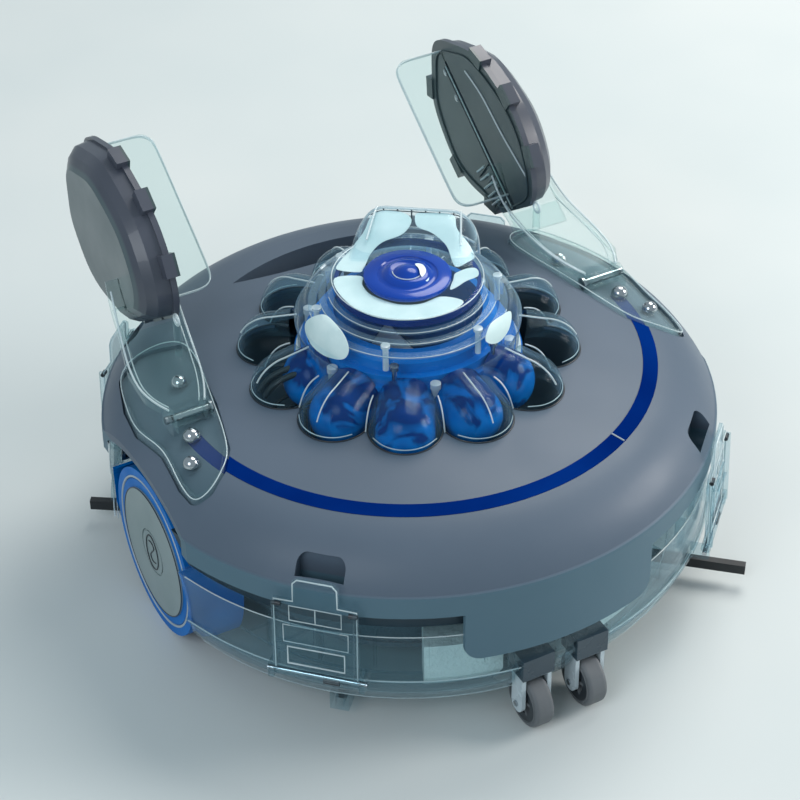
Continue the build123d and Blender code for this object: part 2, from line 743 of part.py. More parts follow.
# ---------------------------------------------------------------- latches
def latch():
    """Latch modelled at the front: leans in from its foot hinge to a finger tab at the top."""
    lean = degrees(asin((LATCH_HINGE_R - 200.6) / (LATCH_TOP_Z - LATCH_HINGE_Z)))
    height = LATCH_TOP_Z - LATCH_HINGE_Z
    half = LATCH_WIDTH / 2
    outline = [
        (-half, 2),
        (-half, height - 17),
        (-14, height - 17),
        (-14, height - 3),
        (-11, height),
        (11, height),
        (14, height - 3),
        (14, height - 17),
        (half, height - 17),
        (half, 2),
    ]
    plate = extrude(Plane.XZ * make_face(Polyline(*outline, close=True)), 2.2)
    window = block(-17, 17, -4, 4, 8, 20)
    plate -= window
    ribs = [block(-half, -half + 2, -5.4, -2.2, 2, height - 18), block(half - 2, half, -5.4, -2.2, 2, height - 18),
            block(-half, half, -4.6, -2.2, 24, 26), block(-15, 15, -4.2, -2.2, 38, 39.6),
            block(-0.8, 0.8, -4.4, -2.2, 26, 38)]
    knuckle = across_x(3.2, -half, half, 0, 0)
    knuckle = Pos(0, -1.1, 0) * knuckle
    web = block(-half, half, -2.2, 0, -1, 4)
    body = joined([plate, knuckle, web] + ribs)
    body -= across_x(LATCH_PIN_R + RUNNING, -40, 40, -1.1, 0)
    return Pos(0, -LATCH_HINGE_R + 1.1, LATCH_HINGE_Z) * Rot(-lean, 0, 0) * body


def latch_mount():
    """Pin and two ears on the tray's rim that carry a latch."""
    half = LATCH_WIDTH / 2
    ears = []
    for x0, x1 in ((-half - 4, -half - 0.5), (half + 0.5, half + 4)):
        ear = block(x0, x1, -LATCH_HINGE_R - 3, -TRAY_R + 2.4, LATCH_HINGE_Z - 5, LATCH_HINGE_Z + 5)
        ears.append(ear - across_x(LATCH_PIN_R, -40, 40, -LATCH_HINGE_R, LATCH_HINGE_Z))
    return ears


def latch_pin():
    half = LATCH_WIDTH / 2
    return across_x(LATCH_PIN_R, -half - 5, half + 5, -LATCH_HINGE_R, LATCH_HINGE_Z)


# ---------------------------------------------------------------- swinging fins
FLOAT_OUTLINE = [
    (-19, 20),
    (-12, 37),
    (9, 50),
    (36, 55),
    (62, 50),
    (91, 38),
    (108, 20),
    (122, -4),
    (110, -26),
    (97, -41),
    (75, -49),
    (52, -51),
    (34, -46),
    (15, -34),
    (-6, -18),
]
FLOAT_CENTRE = (48.0, 1.0)
FLOAT_PLATE = 4.0       # thickness of the float's inner plate
FLOAT_DEPTH = 20.0
# depth of each section, its scale, and its shift along the fin
FLOAT_SECTIONS = ((0.0, 0.97, 0.0), (9.0, 0.95, 0.0), (15.0, 0.88, -0.5), (FLOAT_DEPTH, 0.76, -1.0))


def fin_plane(x):
    along = (0, cos(radians(FIN_TILT)), sin(radians(FIN_TILT)))
    return Plane(origin=(x, FIN_Y, FIN_Z), x_dir=along, z_dir=(1, 0, 0))


def float_face(scale, shift=0.0):
    cu, cv = FLOAT_CENTRE
    points = [(cu + shift + (u - cu) * scale, cv + (v - cv) * scale) for u, v in FLOAT_OUTLINE]
    curve = Spline(*points)
    return make_face([curve, Line(points[-1], points[0])])


def float_solid(inset):
    """Body of a float outside its plate; the last section is its flat outer facet."""
    faces = []
    for depth, scale, shift in FLOAT_SECTIONS:
        x = FLOAT_X + FLOAT_PLATE + depth * (1 - inset / FLOAT_DEPTH)
        faces.append(fin_plane(x) * float_face(scale - inset / 50, shift))
    return loft(faces, ruled=True)


def float_shell():
    return float_solid(0) - float_solid(2.0)


def float_foam():
    return float_solid(2.6)


def float_plate():
    plate = extrude(fin_plane(FLOAT_X) * float_face(1.0), FLOAT_PLATE)
    clips = []
    for u, v, turn in ((47, 55, 0), (4, 50, 25), (84, 42, -22), (104, -36, 50), (48, -51, 0), (6, -28, -35)):
        sketch = Pos(u, v) * Rot(0, 0, turn) * Rectangle(15, 8)
        clips.append(extrude(fin_plane(FLOAT_X - 1.5) * sketch, 9))
    plate = joined([plate] + clips)
    ribs = [extrude(fin_plane(FLOAT_X - 1.5) * (Pos(u, -14) * Rectangle(1.6, 22)), 2) for u in (0, 9, 18, 27)]
    slot = extrude(fin_plane(FLOAT_X - 10) * (Pos(40, 0) * Rectangle(130, FIN_THICK)), 30)
    return joined([plate] + ribs) - slot - float_solid(0)


def fin_blade():
    """Clear blade, with the leg that carries it from the pivot."""
    sheet = Rectangle(FIN_LENGTH, FLOAT_X + FLOAT_PLATE - FIN_INNER_X, align=(Align.MIN, Align.MIN))
    corners = sheet.vertices().sort_by(Axis.Y)[:2]
    sheet = fillet(corners, 10)
    flat = Plane(origin=(FIN_INNER_X, FIN_Y, FIN_Z), x_dir=fin_plane(0).x_dir, z_dir=-fin_plane(0).y_dir)
    apron = Pos(-13, 50) * Rectangle(34, 40)
    return extrude(flat * (sheet + apron), FIN_THICK / 2, both=True)


# side line of the leg's top, as (y, z), and its plan, as (x, y)
LEG_LINE = [(PIVOT_Y, PIVOT_Z + 6.0), (32, 163.5), (60, 168.5), (80, 175), (93, 184.5), (102, 200)]
LEG_PLAN = [
    (137, PIVOT_Y),
    (129, 25),
    (122, 60),
    (118, 88),
    (118, 110),
    (160, 110),
    (163, 84),
    (171, 50),
    (171, 24),
    (163, PIVOT_Y),
]


def leg_layer(depth):
    """Everything in the leg's outline down to a depth under its top line."""
    line = Spline(*LEG_LINE, tangents=((1, 0.02), (0.4, 1)))
    count = len(LEG_LINE)
    under = []
    for i in range(count):
        tangent = line % (i / (count - 1))
        place = line @ (i / (count - 1))
        under.append((place.X + depth * tangent.Y, place.Y - depth * tangent.X))
    lower = Spline(*under, tangents=((1, 0.02), (0.4, 1)))
    face = make_face([line, lower, Line(line @ 0, lower @ 0), Line(line @ 1, lower @ 1)])
    return Pos(100, 0, 0) * extrude(Plane.YZ * face, 90)


def fin_arm():
    skin = leg_layer(LEG_SKIN) & plan_prism(LEG_PLAN, 120, 230, 0, 3.0)
    edge = plan_prism(LEG_PLAN, 120, 230, 0, 3.0) - plan_prism(LEG_PLAN, 110, 240, -2.0, 3.0)
    edge -= block(100, 200, 100, 120, 100, 250)
    rim = leg_layer(LEG_RIM) & edge
    hub = across_x(LEG_HUB_R, LEG_X0, LEG_X1, PIVOT_Y, PIVOT_Z)
    web = block(LEG_X0, LEG_X1, PIVOT_Y, PIVOT_Y + 8, PIVOT_Z, PIVOT_Z + 5.5)
    post = rod(2.6, (131.5, 61, 160), (131.5, 61, 184))
    arm = joined([skin, rim, hub, web, post, fin_blade()])
    for x0, x1 in ((LEG_X0 - EAR_ROOM, LEG_X0), (LEG_X1, LEG_X1 + EAR_ROOM)):
        arm -= across_x(EAR_R + 0.6, x0, x1, PIVOT_Y, PIVOT_Z)
    arm -= across_x(PIVOT_R + RUNNING, LEG_X0 - 5, LEG_X1 + 5, PIVOT_Y, PIVOT_Z)
    return (arm - float_solid(0)) - float_plate()


def fin_bracket():
    plate = band(-POCKET_DEPTH + 0.1, -POCKET_DEPTH + PLATE, 115, 192) & plan_prism(BRACKET_PLAN, 90, 175)
    fence = band(-POCKET_DEPTH + 0.1, 2.5, 115, 192) & (
        plan_prism(BRACKET_PLAN, 90, 175) - plan_prism(BRACKET_PLAN, 80, 185, -2.0))
    plate -= hub_room()
    ears = []
    for x0, x1 in ((LEG_X0 - 3.9, LEG_X0 - 0.5), (LEG_X1 + 0.5, LEG_X1 + 3.9)):
        foot = block(x0, x1, PIVOT_Y - 8, PIVOT_Y + 8, 128, PIVOT_Z)
        ears.append((foot + across_x(EAR_R, x0, x1, PIVOT_Y, PIVOT_Z)) - under_skin(POCKET_DEPTH - 0.1))
    bracket = joined([plate + fence - across_x(PIN_HEAD_R + 0.5, 125, LEG_X0 - 1, PIVOT_Y, PIVOT_Z)] + ears)
    return bracket - across_x(PIVOT_R, 100, 200, PIVOT_Y, PIVOT_Z)


def fin_pin():
    pin = across_x(PIVOT_R, LEG_X0 - 5.5, LEG_X1 + 5.5, PIVOT_Y, PIVOT_Z)
    return pin + across_x(PIN_HEAD_R, LEG_X0 - 5.5, LEG_X0 - 4, PIVOT_Y, PIVOT_Z)


SCREW_SPOTS = ((165, -28), (140, 44))


def bracket_screws():
    screws = []
    for x, y in SCREW_SPOTS:
        radius = sqrt(x * x + y * y)
        z = top_point(radius, -POCKET_DEPTH + PLATE)[1]
        head = Pos(x, y, z + 0.3) * (Sphere(5.2) & Pos(0, 0, 2.6) * Box(12, 12, 5.2))
        screws.append(head)
        screws.append(mirrored(head))
    return screws


# ---------------------------------------------------------------- corner rods
ROD_LAYOUT = ((48.0, 225.0), (-43.0, 171.0), (180 + 56.0, 218.0), (180 - 47.0, 171.0))


def corner_rods():
    rods = []
    for angle, tip in ROD_LAYOUT:
        strip = block(-2.5, 2.5, -tip, -160, 10, 17)
        rods.append(at_angle(strip, angle))
    return rods


def rod_clamps():
    clamps = []
    for angle, _ in ROD_LAYOUT:
        clamp = block(-6, 6, -178, -158, 7, TRAY_FLOOR_Z) - block(-2.55, 2.55, -180, -150, 9.95, 17.05)
        clamps.append(at_angle(clamp, angle))
    return clamps


# ---------------------------------------------------------------- write every node
def main():
    os.makedirs("parts", exist_ok=True)
    save("top_cover", panel_holes(top_cover()))
    save("trim_ring", *trim_ring())
    save("petal_collar", petal_collar())
    save("pump_housing", pump_housing())
    save("nozzle_bearing", nozzle_bearing())
    save("nozzle_dome", nozzle_dome())
    save("nozzle_cap", nozzle_cap())
    save("nozzle_screws", *nozzle_screws())
    save("impeller", impeller())
    save("pump_shaft", pump_shaft())
    save("motor_case", motor_case())
    save("motor", motor())
    save("motor_bearing", *motor_bearings())
    save("shaft_seal", shaft_seal())
    save("motor_lead", *motor_lead())
    save("battery_case", battery_case())
    save("battery_lid", battery_lid())
    save("battery_cells", *battery_cells())
    save("control_board", control_board())
    save("chassis_deck", chassis_deck())
    save("button_switch", button_switch())
    save("power_button", power_button())
    save("charge_port", charge_port())
    save("charge_cap", charge_cap())
    mounts = [at_angle(ear, angle) for angle in LATCH_ANGLES for ear in latch_mount()]
    save("filter_tray", joined([filter_tray()] + mounts + rod_clamps()))
    save("tray_floor", *tray_floor())
    save("filter_screen", filter_screen())
    save("filter_foam", *filter_foam())
    save("inlet_frames", *inlet_frames())
    save("inlet_flap_front", inlet_flap(-1))
    save("inlet_flap_rear", inlet_flap(1))
    save("wheel_fenders", *wheel_fenders())
    save("wheel_axles", *both_sides(wheel_axle()))
    for side, turn in (("right", lambda s: s), ("left", mirrored)):
        save(f"wheel_tyre_{side}", turn(wheel_tyre()))
        save(f"wheel_hub_{side}", turn(wheel_hub()))
        save(f"fin_bracket_{side}", turn(fin_bracket()))
        save(f"fin_blade_{side}", turn(fin_arm()))
        save(f"float_shell_{side}", turn(float_shell()))
        save(f"float_plate_{side}", turn(float_plate()))
        save(f"float_foam_{side}", turn(float_foam()))
    save("fin_pins", *both_sides(fin_pin()))
    save("bracket_screws", *bracket_screws())
    forks, pins = [], []
    for end, sign in (("front", -1), ("rear", 1)):
        for side, x in (("right", CASTER_X), ("left", -CASTER_X)):
            save(f"caster_wheel_{end}_{side}", caster_wheel(x, sign * CASTER_Y))
            forks.append(caster_fork(x, sign))
            pins.append(caster_pin(x, sign))
    save("caster_forks", *forks)
    for name, angle in LATCHES.items():
        save(f"latch_{name}", at_angle(latch(), angle))
    pins.extend(at_angle(latch_pin(), angle) for angle in LATCH_ANGLES)
    save("hinge_pins", *pins)
    save("corner_rods", *corner_rods())


LATCHES = {
    "front_right": LATCH_ANGLE,
    "front_left": -LATCH_ANGLE,
    "rear_right": 180 - LATCH_ANGLE,
    "rear_left": 180 + LATCH_ANGLE,
}
LATCH_ANGLES = tuple(LATCHES.values())

main()
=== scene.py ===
import json
import math

import bmesh
import bpy
from mathutils import Matrix, Vector


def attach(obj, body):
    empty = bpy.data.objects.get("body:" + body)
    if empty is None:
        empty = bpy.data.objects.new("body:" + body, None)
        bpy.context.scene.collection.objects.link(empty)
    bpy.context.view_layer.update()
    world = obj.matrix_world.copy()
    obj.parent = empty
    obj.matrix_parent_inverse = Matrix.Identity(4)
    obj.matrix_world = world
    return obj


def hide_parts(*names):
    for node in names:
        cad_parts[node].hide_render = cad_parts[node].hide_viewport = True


# Looks of the pool cleaner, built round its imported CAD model. Metres, +Z up, front towards -Y.
# Sizes of the pieces below are in millimetres and pass through mm() on their way into the scene.

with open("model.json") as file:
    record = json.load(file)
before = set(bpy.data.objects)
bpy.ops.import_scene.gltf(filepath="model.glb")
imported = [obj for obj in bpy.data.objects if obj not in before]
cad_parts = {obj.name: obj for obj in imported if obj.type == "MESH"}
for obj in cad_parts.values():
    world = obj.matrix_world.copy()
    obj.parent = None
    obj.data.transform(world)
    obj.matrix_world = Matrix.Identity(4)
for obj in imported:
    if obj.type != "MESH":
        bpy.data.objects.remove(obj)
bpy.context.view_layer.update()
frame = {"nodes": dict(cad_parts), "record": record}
nodes = frame["nodes"]
scene = bpy.context.scene

MM = 0.001


def mm(x, y, z):
    return Vector((x * MM, y * MM, z * MM))


# ---------------------------------------------------------------- camera, floor and light
CAMERA_AZIMUTH = math.radians(-28.13)
CAMERA_ELEVATION = math.radians(37.35)
CAMERA_ROLL = math.radians(-0.81)
CAMERA_PLACE = Vector((-0.5742, -1.0618, 1.0360))
LENS_MM = 105.75


def make_camera():
    data = bpy.data.cameras.new("camera")
    data.lens = LENS_MM
    data.sensor_width = 36.0
    camera = bpy.data.objects.new("camera", data)
    scene.collection.objects.link(camera)
    a, e = CAMERA_AZIMUTH, CAMERA_ELEVATION
    back = Vector((math.sin(a) * math.cos(e), -math.cos(a) * math.cos(e), math.sin(e)))
    right = Vector((math.cos(a), math.sin(a), 0.0))
    up = back.cross(right)
    rolled_right = right * math.cos(CAMERA_ROLL) + up * math.sin(CAMERA_ROLL)
    rolled_up = up * math.cos(CAMERA_ROLL) - right * math.sin(CAMERA_ROLL)
    axes = Matrix((rolled_right, rolled_up, back)).transposed()
    camera.matrix_world = Matrix.Translation(CAMERA_PLACE) @ axes.to_4x4()
    scene.camera = camera


def area_light(name, place, target, size, power, colour):
    data = bpy.data.lights.new(name, "AREA")
    data.shape = "DISK"
    data.size = size
    data.energy = power
    data.color = colour
    lamp = bpy.data.objects.new(name, data)
    lamp.location = place
    direction = Vector(target) - Vector(place)
    lamp.rotation_euler = direction.to_track_quat("-Z", "Y").to_euler()
    scene.collection.objects.link(lamp)


def make_studio():
    world = bpy.data.worlds.new("studio")
    scene.world = world
    world.use_nodes = True
    sky = world.node_tree.nodes["Background"]
    sky.inputs["Color"].default_value = (0.74, 0.88, 0.96, 1.0)
    sky.inputs["Strength"].default_value = 0.52
    area_light("key", (1.1, 0.7, 1.8), (0, 0, 0.1), 1.3, 27, (1.0, 0.97, 0.93))
    area_light("fill", (-1.5, -0.9, 1.5), (0, 0, 0.1), 1.2, 15, (0.88, 0.94, 1.0))
    area_light("rim", (1.7, -0.7, 1.0), (0, 0, 0.1), 0.9, 24, (1.0, 0.96, 0.93))
    mesh = bpy.data.meshes.new("floor")
    mesh.from_pydata([(-6, -6, 0), (6, -6, 0), (6, 6, 0), (-6, 6, 0)], [], [(0, 1, 2, 3)])
    floor = bpy.data.objects.new("floor", mesh)
    scene.collection.objects.link(floor)
    material, tree, shader = principled("pale_floor")
    shader.inputs["Roughness"].default_value = 0.85
    noise = texture(tree, "ShaderNodeTexNoise", 3.0, 3.0)
    ramp(tree, noise.outputs["Fac"], shader.inputs["Base Color"],
         ((0.3, (0.56, 0.61, 0.61)), (0.7, (0.63, 0.66, 0.65))))
    mesh.materials.append(material)


# ---------------------------------------------------------------- material helpers
def principled(name):
    material = bpy.data.materials.new(name)
    material.use_nodes = True
    tree = material.node_tree
    return material, tree, tree.nodes["Principled BSDF"]


def object_place(tree):
    return tree.nodes.new("ShaderNodeTexCoord").outputs["Object"]


def texture(tree, kind, scale, detail=2.0):
    node = tree.nodes.new(kind)
    node.inputs["Scale"].default_value = scale
    if "Detail" in node.inputs:
        node.inputs["Detail"].default_value = detail
    tree.links.new(object_place(tree), node.inputs["Vector"])
    return node


def ramp(tree, source, target, stops):
    node = tree.nodes.new("ShaderNodeValToRGB")
    elements = node.color_ramp.elements
    while len(elements) < len(stops):
        elements.new(0.5)
    for element, (place, colour) in zip(elements, stops):
        element.position = place
        element.color = (*colour, 1.0)
    tree.links.new(source, node.inputs["Fac"])
    if target is not None:
        tree.links.new(node.outputs["Color"], target)
    return node.outputs["Color"]


def mottle(tree, noise, dark, light):
    """Soft mix of two shades, from a noise texture."""
    return ramp(tree, noise.outputs["Fac"], None, ((0.3, dark), (0.7, light)))


def map_range(tree, source, low, high, to_low, to_high):
    node = tree.nodes.new("ShaderNodeMapRange")
    node.inputs["From Min"].default_value = low
    node.inputs["From Max"].default_value = high
    node.inputs["To Min"].default_value = to_low
    node.inputs["To Max"].default_value = to_high
    tree.links.new(source, node.inputs["Value"])
    return node.outputs["Result"]


def bump(tree, shader, source, strength, distance):
    node = tree.nodes.new("ShaderNodeBump")
    node.inputs["Strength"].default_value = strength
    node.inputs["Distance"].default_value = distance
    tree.links.new(source, node.inputs["Height"])
    tree.links.new(node.outputs["Normal"], shader.inputs["Normal"])


def wear(tree, shader, low, high, scale=35.0):
    """Roughness that changes a little over the surface, as handling leaves it."""
    noise = texture(tree, "ShaderNodeTexNoise", scale, 5.0)
    tree.links.new(map_range(tree, noise.outputs["Fac"], 0.35, 0.7, low, high), shader.inputs["Roughness"])


def height_of(tree, axis="Z"):
    split = tree.nodes.new("ShaderNodeSeparateXYZ")
    tree.links.new(object_place(tree), split.inputs["Vector"])
    return split.outputs[axis]


def blend_colours(tree, factor, first, second, target):
    mix = tree.nodes.new("ShaderNodeMix")
    mix.data_type = "RGBA"
    tree.links.new(factor, mix.inputs["Factor"])
    tree.links.new(first, mix.inputs["A"])
    tree.links.new(second, mix.inputs["B"])
    tree.links.new(mix.outputs["Result"], target)


def moulded(name, dark, light, rough=(0.25, 0.4), grain=0.0, scale=12.0, coat=0.0, gloss=0.5):
    """Moulded plastic: soft cloudy colour, uneven gloss and an optional fine grain."""
    material, tree, shader = principled(name)
    noise = texture(tree, "ShaderNodeTexNoise", scale, 4.0)
    ramp(tree, noise.outputs["Fac"], shader.inputs["Base Color"], ((0.35, dark), (0.65, light)))
    wear(tree, shader, *rough)
    shader.inputs["Specular IOR Level"].default_value = gloss
    if coat:
        shader.inputs["Coat Weight"].default_value = coat
        shader.inputs["Coat Roughness"].default_value = 0.08
    if grain:
        fine = texture(tree, "ShaderNodeTexNoise", 900.0, 2.0)
        bump(tree, shader, fine.outputs["Fac"], grain, 0.0004)
    return material


def clear(name, tint, haze, least, most, rough=0.05, ripple=0.12, edge=2.4, coat=0.6, gloss=0.5):
    """Thin clear plastic: open where it is seen square on, pale and shiny towards its edges."""
    material, tree, shader = principled(name)
    output = tree.nodes["Material Output"]
    noise = texture(tree, "ShaderNodeTexNoise", 18.0, 3.0)
    ramp(tree, noise.outputs["Fac"], shader.inputs["Base Color"],
         ((0.3, tuple(c * 0.85 for c in haze)), (0.7, haze)))
    shader.inputs["Roughness"].default_value = rough
    shader.inputs["Coat Weight"].default_value = coat
    shader.inputs["Specular IOR Level"].default_value = gloss
    waves = texture(tree, "ShaderNodeTexNoise", 26.0, 2.0)
    bump(tree, shader, waves.outputs["Fac"], ripple, 0.002)
    see = tree.nodes.new("ShaderNodeBsdfTransparent")
    see.inputs["Color"].default_value = (*tint, 1.0)
    facing = tree.nodes.new("ShaderNodeLayerWeight")
    facing.inputs["Blend"].default_value = 0.5
    power = tree.nodes.new("ShaderNodeMath")
    power.operation = "POWER"
    power.inputs[1].default_value = edge
    tree.links.new(facing.outputs["Facing"], power.inputs[0])
    share = map_range(tree, power.outputs["Value"], 0.0, 1.0, least, most)
    mix = tree.nodes.new("ShaderNodeMixShader")
    tree.links.new(share, mix.inputs["Fac"])
    tree.links.new(see.outputs["BSDF"], mix.inputs[1])
    tree.links.new(shader.outputs["BSDF"], mix.inputs[2])
    tree.links.new(mix.outputs["Shader"], output.inputs["Surface"])
    return material


def cover_material():
    """Slate ABS: purplish on the crown, greener on the skirt, with a soft satin sheen."""
    material, tree, shader = principled("cover_slate")
    noise = texture(tree, "ShaderNodeTexNoise", 7.0, 4.0)
    crown = mottle(tree, noise, (0.088, 0.118, 0.158), (0.104, 0.136, 0.180))
    skirt = mottle(tree, noise, (0.074, 0.138, 0.180), (0.088, 0.158, 0.205))
    step = map_range(tree, height_of(tree), 0.1195, 0.1210, 0.0, 1.0)
    blend_colours(tree, step, skirt, crown, shader.inputs["Base Color"])
    wear(tree, shader, 0.40, 0.50, 20.0)
    shader.inputs["Specular IOR Level"].default_value = 0.24
    shader.inputs["Coat Weight"].default_value = 0.04
    shader.inputs["Coat Roughness"].default_value = 0.2
    fine = texture(tree, "ShaderNodeTexNoise", 700.0, 2.0)
    bump(tree, shader, fine.outputs["Fac"], 0.04, 0.0003)
    return material


def wheel_material():
    """Blue tyre rubber with a dark navy tread behind its bright side ring."""
    material, tree, shader = principled("tyre_blue")
    outward = tree.nodes.new("ShaderNodeMath")
    outward.operation = "ABSOLUTE"
    tree.links.new(height_of(tree, "X"), outward.inputs[0])
    across = map_range(tree, outward.outputs["Value"], 0.1755, 0.1765, 0.0, 1.0)
    noise = texture(tree, "ShaderNodeTexNoise", 30.0, 3.0)
    tread = mottle(tree, noise, (0.003, 0.016, 0.085), (0.004, 0.022, 0.12))
    side = mottle(tree, noise, (0.001, 0.125, 0.44), (0.002, 0.165, 0.53))
    blend_colours(tree, across, tread, side, shader.inputs["Base Color"])
    wear(tree, shader, 0.42, 0.6, 40.0)
    shader.inputs["Specular IOR Level"].default_value = 0.2
    return material


def float_material():
    """Slate float shell: purplish sides, a flat greenish outer facet and a darker inner face."""
    material, tree, shader = principled("float_shell")
    outward = tree.nodes.new("ShaderNodeMath")
    outward.operation = "ABSOLUTE"
    tree.links.new(height_of(tree, "X"), outward.inputs[0])
    across = map_range(tree, outward.outputs["Value"], 0.1496, 0.1506, 0.0, 1.0)
    noise = texture(tree, "ShaderNodeTexNoise", 16.0, 4.0)
    side = mottle(tree, noise, (0.046, 0.054, 0.074), (0.060, 0.068, 0.092))
    facet = mottle(tree, noise, (0.060, 0.088, 0.100), (0.085, 0.115, 0.125))
    mix = tree.nodes.new("ShaderNodeMix")
    mix.data_type = "RGBA"
    inner = map_range(tree, outward.outputs["Value"], 0.1279, 0.1285, 0.0, 1.0)
    inner_face_tone = mottle(tree, noise, (0.026, 0.048, 0.052), (0.038, 0.066, 0.070))
    blend_colours(tree, inner, inner_face_tone, side, mix.inputs["A"])
    tree.links.new(facet, mix.inputs["B"])
    tree.links.new(across, mix.inputs["Factor"])
    tree.links.new(mix.outputs["Result"], shader.inputs["Base Color"])
    wear(tree, shader, 0.3, 0.42, 30.0)
    shader.inputs["Coat Weight"].default_value = 0.2
    return material


def fork_material():
    """Whitish translucent ears under a navy block."""
    material, tree, shader = principled("fork")
    noise = texture(tree, "ShaderNodeTexNoise", 30.0, 3.0)
    ear = mottle(tree, noise, (0.42, 0.50, 0.54), (0.55, 0.62, 0.66))
    block = mottle(tree, noise, (0.026, 0.046, 0.064), (0.038, 0.062, 0.082))
    up = map_range(tree, height_of(tree), 0.0415, 0.0422, 0.0, 1.0)
    blend_colours(tree, up, ear, block, shader.inputs["Base Color"])
    wear(tree, shader, 0.2, 0.35, 40.0)
    return material


def metal(name, colour, rough):
    material, tree, shader = principled(name)
    shader.inputs["Metallic"].default_value = 1.0
    noise = texture(tree, "ShaderNodeTexNoise", 60.0, 4.0)
    ramp(tree, noise.outputs["Fac"], shader.inputs["Base Color"],
         ((0.3, tuple(c * 0.85 for c in colour)), (0.7, colour)))
    wear(tree, shader, rough, rough + 0.12, 90.0)
    return material


def fabric(name, dark, light, scale):
    """Open-cell foam or woven screen."""
    material, tree, shader = principled(name)
    cells = texture(tree, "ShaderNodeTexVoronoi", scale)
    ramp(tree, cells.outputs["Distance"], shader.inputs["Base Color"], ((0.1, dark), (0.5, light)))
    shader.inputs["Roughness"].default_value = 0.9
    bump(tree, shader, cells.outputs["Distance"], 0.6, 0.001)
    return material


def scoop_material():
    """Blue of the outlets inside the petals: azure, with painted shade in deep navy towards the top."""
    material, tree, shader = principled("scoop_blue")
    noise = texture(tree, "ShaderNodeTexNoise", 34.0, 3.0)
    noise.inputs["Distortion"].default_value = 1.6
    azure = ramp(tree, noise.outputs["Fac"], None, ((0.35, (0.0, 0.12, 0.44)), (0.65, (0.0, 0.22, 0.66))))
    navy = ramp(tree, noise.outputs["Fac"], None, ((0.35, (0.0, 0.012, 0.09)), (0.65, (0.0, 0.035, 0.20))))
    # Painted shade: height pushes the noise towards navy at the top of each scoop.
    mix = tree.nodes.new("ShaderNodeMath")
    mix.operation = "ADD"
    tree.links.new(map_range(tree, height_of(tree), 0.156, 0.176, -0.10, 0.16), mix.inputs[0])
    tree.links.new(noise.outputs["Fac"], mix.inputs[1])
    shade = map_range(tree, mix.outputs["Value"], 0.50, 0.62, 0.0, 1.0)
    blend_colours(tree, shade, azure, navy, shader.inputs["Base Color"])
    wear(tree, shader, 0.12, 0.25)
    shader.inputs["Specular IOR Level"].default_value = 0.15
    return material


def air_material():
    """Air trapped under the clear plastic, drawn pale: its silvery look is a painted reflection. A few dark
    specks mark where drops cling.
    """
    material, tree, shader = principled("trapped_air")
    noise = texture(tree, "ShaderNodeTexNoise", 40.0, 4.0)
    pale = ramp(tree, noise.outputs["Fac"], None, ((0.35, (0.60, 0.77, 0.77)), (0.65, (0.76, 0.90, 0.89))))
    speck = mottle(tree, noise, (0.03, 0.08, 0.14), (0.06, 0.14, 0.22))
    cells = texture(tree, "ShaderNodeTexVoronoi", 110.0)
    near = map_range(tree, cells.outputs["Distance"], 0.10, 0.13, 1.0, 0.0)
    blend_colours(tree, near, pale, speck, shader.inputs["Base Color"])
    wear(tree, shader, 0.3, 0.45)
    return material


MATERIALS = {
    "cover_grey": cover_material(),
    "trim_blue": moulded("trim_navy", (0.0005, 0.014, 0.12), (0.001, 0.024, 0.17), (0.35, 0.5), gloss=0.0),
    "pump_blue": moulded("pump_blue", (0.0, 0.10, 0.40), (0.0, 0.19, 0.62), (0.2, 0.32),
                         coat=0.05, gloss=0.12),
    "clear": clear("clear_shell", (0.86, 0.93, 0.95), (0.30, 0.40, 0.45), 0.04, 0.7, ripple=0.25),
    "float_grey": float_material(),
    "foam_white": fabric("float_foam", (0.45, 0.5, 0.48), (0.7, 0.75, 0.72), 300.0),
    "filter_pad": fabric("filter_pad", (0.60, 0.68, 0.66), (0.85, 0.90, 0.86), 260.0),
    "mesh": fabric("filter_mesh", (0.03, 0.06, 0.085), (0.11, 0.16, 0.19), 700.0),
    "dark_plastic": moulded("dark_moulding", (0.008, 0.022, 0.036), (0.014, 0.034, 0.052), (0.35, 0.5)),
    "navy_plastic": moulded("navy_moulding", (0.012, 0.022, 0.055), (0.02, 0.034, 0.08), (0.3, 0.45)),
    "tyre_blue": wheel_material(),
    "wheel_grey": moulded("hub_grey", (0.20, 0.26, 0.265), (0.25, 0.31, 0.315), (0.35, 0.5), grain=0.08),
    "caster_grey": moulded("caster_grey", (0.10, 0.11, 0.12), (0.14, 0.15, 0.16), (0.45, 0.6)),
    "fork_white": fork_material(),
    "black_rubber": moulded("black_rubber", (0.008, 0.010, 0.012), (0.014, 0.017, 0.02), (0.45, 0.6)),
    "steel": metal("polished_steel", (0.50, 0.53, 0.56), 0.10),
    "brushed": metal("brushed_steel", (0.55, 0.57, 0.58), 0.3),
    "cell_wrap": moulded("cell_wrap", (0.02, 0.12, 0.08), (0.03, 0.16, 0.10), (0.25, 0.35)),
    "board_green": moulded("board_green", (0.006, 0.06, 0.02), (0.01, 0.09, 0.03), (0.3, 0.45)),
    "bearing_white": moulded("acetal", (0.62, 0.64, 0.62), (0.72, 0.74, 0.72), (0.3, 0.4)),
}
CAP_BLUE = moulded("cap_navy", (0.001, 0.035, 0.28), (0.002, 0.060, 0.42), (0.15, 0.25), coat=0.3, gloss=0.25)
SHEET = clear("clear_sheet", (0.93, 0.98, 0.975), (0.36, 0.46, 0.50), 0.02, 0.6, ripple=0.08)
